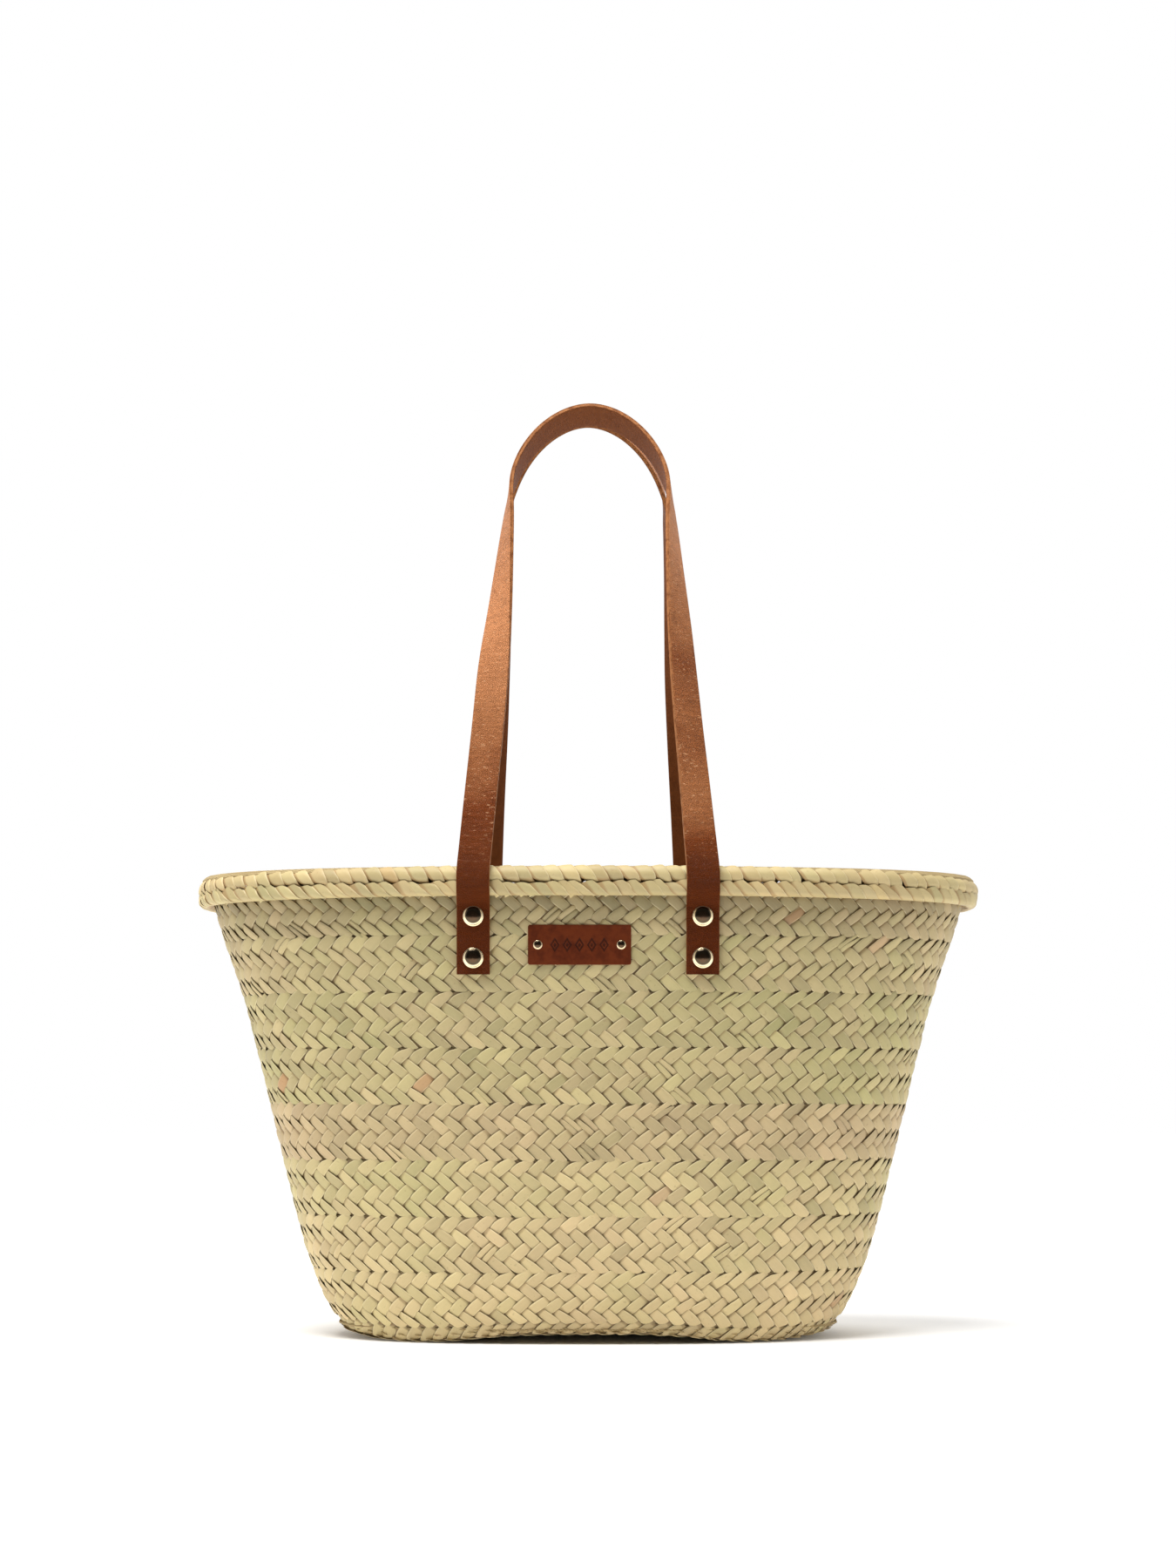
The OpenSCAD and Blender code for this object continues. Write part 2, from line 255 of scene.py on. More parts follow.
LEAF_U = np.array([-1, -0.8, -0.52, -0.18, 0.18, 0.52, 0.8, 1])
LEAF_V = np.array([-1, -0.92, -0.6, 0, 0.6, 0.92, 1])
TUCK = 1.22            # a leaf's length over what shows of it
CROWN = 0.26 * MM      # how far its middle stands above its edges
WAVE = 0.95 * MM       # how far its ends dive under the leaves that cross it
EDGE_DROP = 0.5 * MM
TILT = 0.42 * MM        # each leaf lies on the next one, so one edge stands up
SPLIT_SHARE = 0.035    # leaves that are made of two narrow ones
FOLD_CURL = 0.5 * MM
FOLD_LAP = 1.2 * MM    # how far the folded ends hang over the turn below, with rounded corners
SCALLOP = 1.0 * MM
CORE_DEPTH = 1.5 * MM
# The core's tone: brown, and drawn very dark as painted shade deep in the gaps
CORE_TONE_AND_SHADE = np.array([[0.3, 0.8, -3.4]])
BATCH_SIZE = 0.16      # how much the tone drifts along a braid
COL = (slice(None), None, None)    # spreads one value a leaf over the leaf's grid of points


def swell(along, total, waves):
    """A slow change along a braid, as one batch of leaves follows another."""
    turn = 2 * math.pi * along / total
    return sum(math.sin(k * turn + phase) * size for k, phase, size in waves)


def batch_waves(size):
    """Slow waves for swell: how many in a turn, where they start, and how strong."""
    return [(k, rng.uniform(0, 2 * math.pi), size / math.sqrt(k)) for k in (2, 5, 9, 14)]


def leaf_tints(along, total, tone, waves):
    """How green, how brown and how light each leaf is."""
    n = len(along)
    slow = np.array([swell(a, total, waves) for a in along])
    green = tone[0] + slow + rng.normal(size=n) * 0.12
    brown = tone[1] - slow * 0.6 + rng.normal(size=n) * 0.12
    odd = rng.random(n) < 0.008
    brown = np.where(odd, rng.uniform(1.1, 1.5, n), np.clip(brown, 0, 1))
    light = tone[2] + rng.normal(size=n) * 0.7
    return np.stack([np.clip(green, 0, 1), brown, light], axis=-1)


def plait_row(sheaf, place, run, height, row_h, count, direction, phase, tone, waves, side=1, fold=0,
              pinch=False, wave=WAVE, lap=FOLD_LAP):
    """One row of leaves along a braid. place(along, up, out) gives points, and direction is 1 for
    leaves that rise along it. A row with a fold, which is the slope of its folded ends, stops lap
    below its lower edge. pinch narrows the leaves at its upper edge, where they turn over. wave is how
    far their ends dive under."""
    pitch = run / count
    lean = math.atan2(row_h, pitch)
    half_w = pitch * math.sin(lean) / 2
    float_half = pitch / math.cos(lean) / 2
    k = np.arange(count)
    split = rng.random(count) < SPLIT_SHARE
    parts = [(k[~split], 0.0, 1.0), (k[split], -0.5, 0.5), (k[split], 0.52, 0.5)]
    for members, shift, share in parts:
        n = len(members)
        if n == 0:
            continue
        wobble = rng.normal(size=(n, 9))
        centre_along = (members + phase) * pitch + wobble[:, 0] * 0.3 * MM
        centre_up = height + wobble[:, 1] * 0.22 * MM
        angle = direction * (lean + wobble[:, 2] * 0.04)[COL]
        width = half_w * share * (1.03 + 0.025 * wobble[:, 3])[COL]
        length = float_half * (TUCK + 0.03 * wobble[:, 4])[COL]
        lift = wobble[:, 5][COL] * 0.12 * MM
        tilt = (TILT + wobble[:, 6] * 0.12 * MM)[COL]
        rel = LEAF_V[None, None, :]
        cos, sin = np.cos(angle), np.sin(angle)
        v = rel * width
        first, last = -length + 0 * v, length + 0 * v
        if fold:
            slope = (fold + 0.06 * wobble[:, 7])[COL]
            drop = -row_h * 0.5 - lap + SCALLOP * rel**2
            cut = (drop - v * (cos + slope * sin)) / (sin - slope * cos)
            first = np.maximum(first, cut) if direction > 0 else first
            last = last if direction > 0 else np.minimum(last, cut)
        f = (LEAF_U[None, :, None] + 1) / 2
        u = first * (1 - f) + last * f
        far = u / float_half
        v = v * (1.02 - 0.07 * far**2)
        if pinch:
            narrow = np.clip(0.12 + 0.14 * wobble[:, 8], 0, 0.45)[COL]
            rising = np.clip((far * direction + 0.1) / 0.9, 0, 1) ** 1.3
            v = np.where(rel * direction > 0, v * (1 - 2 * narrow * rising), v)
        bow = 0.3 * MM * (1 - far**2)
        along = centre_along[COL] + u * cos - (v + bow + shift * half_w) * sin
        up = centre_up[COL] + u * sin + (v + bow + shift * half_w) * cos
        h = -wave * np.abs(far) ** 3.2
        # Painted shade: dive sets how dark a leaf is drawn where its ends go under the leaves that cross it
        dive = np.clip((np.abs(far) - 0.72) / 0.28, 0, 1)
        if fold:
            low = far * direction < 0
            h = np.where(low, -0.05 * wave * far**2, h)
            dive = np.where(low, 0.1 * dive, dive)
            h = h - np.where(LEAF_U[None, :, None] * direction < -0.95, FOLD_CURL, 0)
        if pinch:
            high = far * direction > 0
            h = np.where(high, 0.5 * h, h)
            dive = np.where(high, 0.5 * dive, dive)
        h = h + CROWN * (1 - rel**2) - EDGE_DROP * rel**10 + tilt * rel + lift
        grids = place(along, up, h if side > 0 else -BRAID_T - h)
        tints = leaf_tints(centre_along, run, tone, waves)
        sheaf.add(grids, u + centre_along[COL], v, rel, dive + 0 * v, tints, flip=side < 0)


def plait(sheaf, place, total, low, row_h, rows, pitch, first, tone, shade=(), lowest=None, highest=None):
    """Both faces of a braid. first is which way its lowest row leans outside, shade is how much darker
    each row is drawn, as painted shade, and lowest and highest are settings of its edge rows."""
    count = int(round(total / pitch))
    for side in (1, -1):
        offset = rng.random()
        waves = batch_waves(BATCH_SIZE)
        for row in range(rows):
            edges = dict(lowest or {}) if row == 0 else {}
            edges.update(highest or {} if row == rows - 1 else {})
            # Painted shade: the row's lightness is lowered by its shade
            shaded_tone = (tone[0], tone[1], tone[2] - (shade[row] if shade else 0))
            plait_row(sheaf, place, total, low + (row + 0.5) * row_h, row_h, count,
                      first * side * (-1) ** row, offset + 0.5 * (row % 2), shaded_tone, waves, side=side, **edges)


def add_core(sheaf, place, total, up_from, up_to, steps=240):
    """What shows through the gaps: the leaves' crossings in the middle of the braid, drawn very dark as
    painted shade.
    """
    along = np.linspace(0, total, steps)[None, :, None]
    up = np.linspace(up_from, up_to, 5)[None, None, :]
    for out, flip in ((-CORE_DEPTH, False), (-BRAID_T + CORE_DEPTH, True)):
        grids = place(along + 0 * up, up + 0 * along, out + 0 * (along + up))
        sheaf.add(grids, along, up, 0.0, 1.0, CORE_TONE_AND_SHADE, flip=flip)


# How green, brown and light the leaves of each course are, from the table up. The lightness is mostly
# painted shade: the courses are drawn darker up the wall, as if less lit towards the rim.
COURSE_TONES = [
    (0.15, 0.40, 0.3), (0.20, 0.35, -0.4), (0.45, 0.22, -0.4), (0.12, 0.62, -1.5),
    (0.60, 0.25, -1.1), (0.62, 0.15, -1.4), (0.50, 0.25, -1.4), (0.40, 0.35, -2.2),
]
COURSE_PITCH = [10.7, 11.0, 11.3, 10.8, 10.9, 11.4, 11.0, 10.6]
EDGE_PITCH = 9.6
LOWER_DIP = 0.05 * MM
UPPER_DIP = 0.15 * MM
EDGE_SINK = 1.3 * MM     # how far the band at the table lies behind the first course


def braid_place(z0, z1, total, angles, run, sink):
    """Mapping for a turn of the wall. It bellies out a little between its laced edges."""
    def place(along, up, out):
        f = np.clip((up - z0) / (z1 - z0), 0, 1)
        dip = LOWER_DIP * (1 - f) ** 6 + UPPER_DIP * f**6 + sink
        inside = np.where(out < -BRAID_T / 2, -1, 1)
        angle = np.interp(along % total, run, angles)
        return wall_point(angle, up, out - inside * dip)
    return place


def wall_turn(name, node, pitch, rows, tone, first=-1, sink=0.0, shade=(), lowest=None, highest=None):
    """A turn of braid on the wall; see plait."""
    low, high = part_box(node)
    z0, z1 = low[2], high[2]
    a, b = half_sizes(np.array((z0 + z1) / 2))
    angles, run = run_table(float(a), float(b))
    total = run[-1]
    place = braid_place(z0, z1, total, angles, run, sink)
    sheaf = Sheaf()
    plait(sheaf, place, total, z0, (z1 - z0) / rows, rows, pitch, first, tone, shade, lowest, highest)
    add_core(sheaf, place, total, z0 + 0.8 * MM, z1 - 0.4 * MM)
    piece = sheaf.build(name)
    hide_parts(node)
    return piece


# ---------------------------------------------------------------- base

UNDER_GAP = 0.9 * MM    # from the table to the underside's face, to leave room for its leaves
BASE_PITCH = 10.8 * MM


def base_turn(name, node, outer, inner, tone):
    """A flat turn of the base between two insets from the slab's outline."""
    half_w, half_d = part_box("base_turn_2")[1][:2]
    middle = (outer + inner) / 2
    angles, run = run_table(half_w - middle, half_d - middle)
    total = run[-1]
    width = inner - outer

    def place(along, up, out):
        angle = np.interp(along % total, run, angles)
        x, y = oval_xy(angle, half_w - inner + up, half_d - inner + up)
        return np.stack([x, y, lifted(x, UNDER_GAP - out)], axis=-1)

    sheaf = Sheaf()
    plait(sheaf, place, total, 0, width / ROWS, ROWS, BASE_PITCH, 1, tone)
    add_core(sheaf, place, total, 0.5 * MM, width - 0.5 * MM)
    piece = sheaf.build(name)
    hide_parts(node)
    return piece


def base_strip(name, node, tone):
    """The straight strip in the middle of the base, tapered at its ends."""
    half_w, half_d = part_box(node)[1][:2]
    total = 2 * half_w
    count = int(round(total / BASE_PITCH))
    row_h = 2 * half_d / ROWS

    def place(along, up, out):
        y = up - half_d
        taper = np.clip(1 - (np.abs(y) / half_d) ** OVAL_POWER, 0.05, 1) ** (1 / OVAL_POWER)
        x = (np.clip(along, 0, total) - half_w) * taper
        return np.stack([x, y, lifted(x, UNDER_GAP - out)], axis=-1)

    sheaf = Sheaf()
    waves = batch_waves(BATCH_SIZE)
    for side in (1, -1):
        for row in range(ROWS):
            direction = -side * (-1) ** row
            plait_row(sheaf, place, total, (row + 0.5) * row_h, row_h, count, direction,
                      0.5 + 0.25 * (row % 2), tone, waves, side=side)
    add_core(sheaf, place, total, 0.5 * MM, 2 * half_d - 0.5 * MM)
    piece = sheaf.build(name)
    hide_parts(node)
    return piece


def cord_rings(name, node, insets, height, radius, sides=8, steps=200):
    """Lacing cord as closed rings in the thickness of the base."""
    half_w, half_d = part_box("base_turn_2")[1][:2]
    angle = np.linspace(0, 2 * math.pi, steps, endpoint=False)
    turn = np.linspace(0, 2 * math.pi, sides)
    points = []
    for inset in insets:
        a, b = half_w - inset, half_d - inset
        x, y = oval_xy(angle, a, b)
        nx, ny = oval_normal(x, y, a, b)
        out = radius * np.cos(turn)[None, :]
        px = x[:, None] + nx[:, None] * out
        py = y[:, None] + ny[:, None] * out
        pz = lifted(px, height + radius * np.sin(turn)[None, :])
        points.append(np.stack([px, py, pz], axis=-1))
    grids = np.array(points)
    piece = mesh_object(name, grids.reshape(-1, 3), grid_faces(len(insets), steps, sides, close_rows=True))
    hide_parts(node)
    return piece


# ---------------------------------------------------------------- rim

WRAP_PITCH = 9.8 * MM
WELT_PITCH = 8.8 * MM
RIM_TONE = (0.18, 0.22, -0.5)
WELT_TONE = (0.2, 0.14, -1.1)
TEETH_TONE = (0.3, 0.2, 0.1)
RIM_BATCH_SIZE = 0.12
WRAP_HALF_W = 0.61        # half widths and slants of the leaves, over their pitch
WRAP_SLANT = 2.1
WELT_HALF_W = 0.72
WELT_SLANT = 1.35
TOOTH_PITCH = 0.9 * WELT_PITCH


def rim_line():
    """Half sizes, height and radius of the upper bead's middle line."""
    low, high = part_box("rim_wrap")
    radius = (high[2] - low[2]) / 2
    return high[0] - radius, high[1] - radius, low[2] + radius, radius


def rim_place(a, b):
    """Mapping round the rim: along it, out from the bead's middle line, and height."""
    angles, run = run_table(a, b)
    total = run[-1]

    def place(along, out, z):
        angle = np.interp(along % total, run, angles)
        x, y = oval_xy(angle, a, b)
        nx, ny = oval_normal(x, y, a, b)
        out, z = out + 0 * x, z + 0 * x
        return np.stack([x + nx * out, y + ny * out, z], axis=-1)

    return place, total


RIM_DROP = 1.7 * MM      # the bead is pulled down on the wall, and more at the ends of the oval
RIM_SAG = 2.8 * MM


def rim_sag(x):
    """How much lower the rim is at a distance from the middle."""
    return RIM_SAG * np.abs(x / SEAMS[-1, 1]) ** 2.5


def rim_wrap():
    """The upper bead: a leaf wound round and round, each turn lying on the one before."""
    a, b, z_mid, radius = rim_line()
    place, total = rim_place(a, b)
    count = int(round(total / WRAP_PITCH))
    pitch = total / count
    n = np.arange(count)
    wobble = rng.normal(size=(count, 10))
    turn = np.linspace(-0.5 * math.pi, 1.5 * math.pi, 33)[None, :, None]
    rel = np.array([-1, -0.68, -0.46, 0.1, 0.55, 0.82, 0.95, 1])[None, None, :]
    low = np.clip(-np.sin(turn), 0, 1)
    width = pitch * (WRAP_HALF_W + 0.04 * wobble[:, 0][COL]) * (1 - 0.36 * low**1.3)
    helix = pitch * (WRAP_SLANT + 0.3 * wobble[:, 1][COL]) * turn / (2 * math.pi)
    sway = 0.9 * MM * wobble[:, 2][COL] + 0.6 * MM * wobble[:, 3][COL] * np.cos(turn)
    along = (n * pitch)[COL] - helix + sway + rel * width
    # The leading edge stands proud and rounds over, and the trailing edge goes under
    proud = np.clip(1.15 + 0.35 * wobble[:, 6], 0.4, 1.9)[COL] * MM
    step = proud * (np.clip((rel + 1) / 1.4, 0, 1) - 0.5) - 0.8 * MM * np.clip((rel - 0.8) / 0.2, 0, 1) ** 2
    r = radius - 0.55 * MM + step + 0.1 * MM * wobble[:, 4][COL] - 0.9 * MM * low**2.5
    r = r + 0.15 * MM * np.sin(3 * turn + 2 * wobble[:, 5][COL])
    z = z_mid - RIM_DROP + r * np.sin(turn)
    grids = place(along, r * np.cos(turn), z)
    grids[..., 2] -= rim_sag(grids[..., 0])
    sheaf = Sheaf()
    tints = leaf_tints(n * pitch, total, RIM_TONE, batch_waves(RIM_BATCH_SIZE))
    tints[:, 1] = np.clip(tints[:, 1], 0, 0.9)
    # Painted shade: each turn is drawn darker on the bead's underside and where the next turn lies on it
    under = np.clip((-rel - 0.44) / 0.2, 0, 0.95)    # where the next turn lies on it
    end = np.maximum(np.clip(1.5 * low - 0.25 + 0.2 * wobble[:, 7][COL], 0, 1), under)
    sheaf.add(grids, turn * radius, rel * width, rel, end, tints, flip=True)
    piece = sheaf.build("rim_binding")
    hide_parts("rim_wrap")
    return piece


def smooth_line(points, steps):
    """Points evenly spread on a smooth line through these, which may have any number of parts."""
    points = np.asarray(points, float)
    reach = np.concatenate([[0], np.cumsum(np.linalg.norm(np.diff(points, axis=0), axis=1))])
    slopes = np.gradient(points, reach, axis=0)
    s = np.linspace(0, reach[-1], steps)
    k = np.clip(np.searchsorted(reach, s, side="right") - 1, 0, len(reach) - 2)
    gap = (reach[k + 1] - reach[k])[:, None]
    f = (s[:, None] - reach[k][:, None]) / gap
    return curve_between(points[k], slopes[k] * gap, points[k + 1], slopes[k + 1] * gap, f)


# Section of the lower bead, from the wall round its front to its top edge: out, up from its foot
WELT_SECTION = [(-0.5, 2.4), (3.0, 1.0), (6.4, 1.2), (8.3, 2.8), (9.0, 5.4), (8.7, 7.8), (8.2, 9.2)]


def rim_welt():
    """The lower bead: folded leaves that slant across it, with points along its top edge."""
    low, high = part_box("rim_welt")
    a, b = SEAMS[-1, 1], SEAMS[-1, 2]
    place, total = rim_place(a, b)
    count = int(round(total / WELT_PITCH))
    pitch = total / count
    n = np.arange(count)
    wobble = rng.normal(size=(count, 8))
    line = smooth_line(np.array(WELT_SECTION) * MM, 17)
    t = np.linspace(0, 1, 17)[None, :, None]
    rel = np.array([-1, -0.8, -0.4, 0, 0.4, 0.75, 0.92, 1])[None, None, :]
    width = pitch * (WELT_HALF_W + 0.05 * wobble[:, 0][COL])
    slant = pitch * (WELT_SLANT + 0.25 * wobble[:, 1][COL])
    along = (n * pitch)[COL] - slant * (t - 0.5) + rel * width + 0.8 * MM * wobble[:, 2][COL]
    proud = np.clip(1.4 + 0.45 * wobble[:, 3], 0.4, 2.3)[COL] * MM
    tucked = np.clip((rel - 0.75) / 0.25, 0, 1) ** 2
    bulge = proud * (np.clip((rel + 1) / 1.6, 0, 1) - 0.5) - 0.9 * MM * tucked
    bulge = bulge + 0.3 * MM * np.sin(2 * math.pi * t + 3 * wobble[:, 5][COL]) * wobble[:, 6][COL]
    out = line[:, 0][None, :, None] + bulge * np.clip(4 * t, 0, 1)
    up = low[2] + line[:, 1][None, :, None]
    peak = np.clip(1 - np.abs(rel - 0.3) / np.where(rel > 0.3, 0.7, 1.3), 0, 1)
    tall = np.clip(2.6 + 0.8 * wobble[:, 4][COL], 0.8, 4.2) * MM
    up = up + (tall * peak - 0.9 * MM) * np.clip((t - 0.66) / 0.34, 0, 1)
    out = out + 0.9 * MM * peak * np.clip((t - 0.75) / 0.25, 0, 1)
    sheaf = Sheaf()
    waves = batch_waves(RIM_BATCH_SIZE)
    tints = leaf_tints(n * pitch, total, WELT_TONE, waves)
    tints[:, 1] = np.clip(tints[:, 1], 0, 0.9)
    # Painted shade: each leaf is drawn darker under the bead, from the wall out to its front, and on its
    # side that goes under the next leaf
    foot_shade = np.maximum(0.9 * np.clip(1 - t / 0.45, 0, 1), np.clip((-rel - 0.1) / 0.3, 0, 0.85))
    grids = place(along, out, up)
    grids[..., 2] -= 0.5 * rim_sag(grids[..., 0])
    sheaf.add(grids, t * 14 * MM, rel * width, rel, foot_shade, tints)
    add_teeth(sheaf, place, total, low[2], waves)
    piece = sheaf.build("rim_lower_bead")
    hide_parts("rim_welt")
    return piece


def add_teeth(sheaf, place, total, foot, waves):
    """Short leaf points that hang out under the lower bead in places."""
    count = int(round(total / TOOTH_PITCH))
    n = np.arange(count)
    slow = np.array([swell(k / count, 1, [(3, 1.0, 1.0), (7, 2.5, 0.8)]) for k in n])
    keep = slow + rng.normal(size=count) * 0.5 > 0.1
    n = n[keep]
    wobble = rng.normal(size=(len(n), 5))
    t = np.linspace(0, 1, 4)[None, :, None]
    rel = np.array([-1, 0, 1])[None, None, :]
    width = 3.2 * MM * (1 - 0.92 * t)
    reach = np.clip(2.6 + 0.8 * wobble[:, 0], 1.2, 4.2)[COL] * MM
    lean = (0.9 + 0.4 * wobble[:, 1])[COL]
    along = (n / count * total)[COL] - reach * lean * t + rel * width
    out = 6.3 * MM - 2.4 * MM * t**1.5 + 0.3 * MM * (1 - rel**2)
    up = foot + 2.8 * MM - reach * t
    tints = leaf_tints(n / count * total, total, TEETH_TONE, waves)
    sheaf.add(place(along, out + 0 * along, up), t * reach, rel * width, rel, 0.0, tints, flip=True)


# ---------------------------------------------------------------- handles

STRAP_W = 21.5 * MM
STRAP_T = 3 * MM
EDGE_ROUND = 0.6 * MM
FRONT_LEG_CURVE = 1.15    # below 1 the legs bow outward
BACK_LEG_CURVE = 0.78
FRONT_ARCH_HALF_W = 55.5 * MM
BACK_ARCH_HALF_W = 56.5 * MM
FRONT_ARCH_SHIFT = 1.4 * MM
ARCH_RISE = 72 * MM
ARCH_POWER = 1.85     # below 2 the arch is more pointed than an ellipse
TOP_RAISE = 2.8 * MM
APEX_TILT = math.radians(27.5)
STATION_GAP = 1.6 * MM
TAB_BEND_Z = 284 * MM     # where a tab leaves the wall, and where it stands upright
TAB_TOP_Z = 294.5 * MM
# How far up the colour ramp each place on the right leg is, against its distance from the foot, in
# millimetres. This paints light and shade on the right leg apart from the left one, which takes its plain
# distance.
RIGHT_LEG_SHADE = ([0, 70, 105, 150, 220, 300, 600], [0, 62, 160, 165, 135, 230, 600])
# How far each strap has turned at heights up its loop, in millimetres and degrees
RIGHT_TWIST = ([-14, 0, 40, 90, 131, 183, 231, 254, 279, 296], [0, 5, 20, 29, 34, 45, 62, 69, 80, 90])
LEFT_TWIST = ([-14, 0, 60, 136, 160, 183, 199, 231, 265, 296], [0, 5, 8, 10, 22, 38, 46, 60, 73, 90])


def strap_stations(front):
    """Middle line of a strap from its right foot over the arch to its left foot, for a strap at the
    front. Gives points, the direction its face looks before it twists, and the twist."""
    hinge = hinge_place(front)
    hinge_out, hinge_z = abs(hinge[1]), hinge[2]
    side = "front" if front else "back"
    arch_half_w = FRONT_ARCH_HALF_W if front else BACK_ARCH_HALF_W
    shift = FRONT_ARCH_SHIFT if front else 0
    leg_curve = FRONT_LEG_CURVE if front else BACK_LEG_CURVE
    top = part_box(f"{side}_handle")[1][2] + TOP_RAISE
    tab_low, tab_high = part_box(f"{side}_right_tab")
    foot_x = abs(tab_low[0] + tab_high[0]) / 2
    foot_z = tab_low[2]
    foot_out = tab_foot_out(side)
    drop = STRAP_W / 2 * math.sin(APEX_TILT) + STRAP_T / 2 * math.cos(APEX_TILT)
    apex_out = STRAP_W / 2 * math.cos(APEX_TILT) + STRAP_T / 2 * math.sin(APEX_TILT) + MM
    rise, run = top - drop - hinge_z, hinge_out - apex_out
    lean = math.atan2(run, rise)
    spring = math.hypot(run, rise) - ARCH_RISE
    tab = [(foot_out[0], foot_z), (foot_out[1], TAB_BEND_Z), (hinge_out, TAB_TOP_Z), (hinge_out, hinge_z)]
    right = []
    for (y0, z0), (y1, z1) in zip(tab, tab[1:]):
        for f in np.arange(0, 1, 0.1):
            z = z0 + (z1 - z0) * f
            right.append((foot_x, -(y0 + (y1 - y0) * f), z, 0, z - hinge_z))
    for f in np.arange(0, 1, 0.02):
        x = arch_half_w + (foot_x - arch_half_w) * (1 - f) ** leg_curve
        right.append((x, None, spring * f, 0, spring * f))
    arch = []
    for angle in np.linspace(0, math.pi, 50):
        more = (APEX_TILT - lean) * math.sin(angle)
        c, s = math.cos(angle), math.sin(angle)
        x = arch_half_w * math.copysign(abs(c) ** (2 / ARCH_POWER), c)
        z = spring + ARCH_RISE * max(s, 0) ** (2 / ARCH_POWER)
        arch.append((x, None, z, more, z))
    left = [(-x, y, z, more, u) for x, y, z, more, u in reversed(right)]
    points, faces, twists = [], [], []
    parts = (right, RIGHT_TWIST), (arch[:25], RIGHT_TWIST), (arch[25:], LEFT_TWIST), (left, LEFT_TWIST)
    for part, table in parts:
        for x, y, z, more, u in part:
            if y is None:
                sideways = shift * min(z / spring, 1) ** 2
                point = (x + sideways, -hinge_out + z * math.sin(lean), hinge_z + z * math.cos(lean))
                face = (0, -math.cos(lean), math.sin(lean))
            else:
                point, face = (x, y, z), (0, -1, 0)
            turn = math.radians(np.interp(u / MM, *table))
            points.append(point)
            faces.append(face)
            twists.append(turn + more)
    return np.array(points), np.array(faces), np.array(twists)


def hinge_place(front):
    """Where a handle's hinge is."""
    name = "front_handle_swing" if front else "back_handle_swing"
    for joint in frame["joints"]:
        if joint["name"] == name:
            return joint["pos_m"]
    raise ValueError(name)


def tab_foot_out(side):
    """Distance in front of the middle of a tab's middle line, at its foot and at its bend."""
    mesh = frame["nodes"][f"{side}_right_tab"].data
    low = min(v.co.z for v in mesh.vertices)
    outs = []
    for z in (low, TAB_BEND_Z):
        near = [abs(v.co.y) for v in mesh.vertices if abs(v.co.z - z) < 1.2 * MM]
        outs.append((min(near) + max(near)) / 2)
    return outs


def blur(values, width):
    """Values smoothed along their first direction, with the ends kept."""
    reach = int(3 * width)
    kernel = np.exp(-0.5 * (np.arange(-reach, reach + 1) / width) ** 2)
    kernel /= kernel.sum()
    flat = values.reshape(len(values), -1)
    ends = [2 * flat[0] - flat[reach:0:-1], flat, 2 * flat[-1] - flat[-2:-reach - 2:-1]]
    padded = np.concatenate(ends)
    out = np.stack([np.convolve(padded[:, c], kernel, "valid") for c in range(flat.shape[1])], axis=-1)
    return out.reshape(values.shape)


def evenly(points, gap, *others):
    """A line's points respaced evenly, with values that go with them."""
    reach = np.concatenate([[0], np.cumsum(np.linalg.norm(np.diff(points, axis=0), axis=1))])
    s = np.linspace(0, reach[-1], int(reach[-1] / gap) + 1)
    found = []
    for values in (points,) + others:
        flat = values.reshape(len(values), -1)
        new = np.stack([np.interp(s, reach, flat[:, c]) for c in range(flat.shape[1])], axis=-1)
        found.append(new.reshape((len(s),) + values.shape[1:]))
    return found


def unit_rows(v):
    """Directions of the same way with length 1."""
    return v / np.linalg.norm(v, axis=-1, keepdims=True)


def strap_outline():
    """Section of the strap, going round once: across, out."""
    half_w, half_t, r = STRAP_W / 2, STRAP_T / 2, EDGE_ROUND
    flat = np.linspace(-1, 1, 9) * (half_w - r)
    corner = [math.radians(a) for a in (22.5, 45, 67.5)]
    points = [(x, half_t) for x in flat]
    points += [(half_w - r + r * math.sin(a), half_t - r + r * math.cos(a)) for a in corner]
    points += [(half_w, half_t - r), (half_w, 0), (half_w, r - half_t)]
    points += [(half_w - r + r * math.cos(a), r - half_t - r * math.sin(a)) for a in corner]
    return np.concatenate([np.array(points), -np.array(points)])


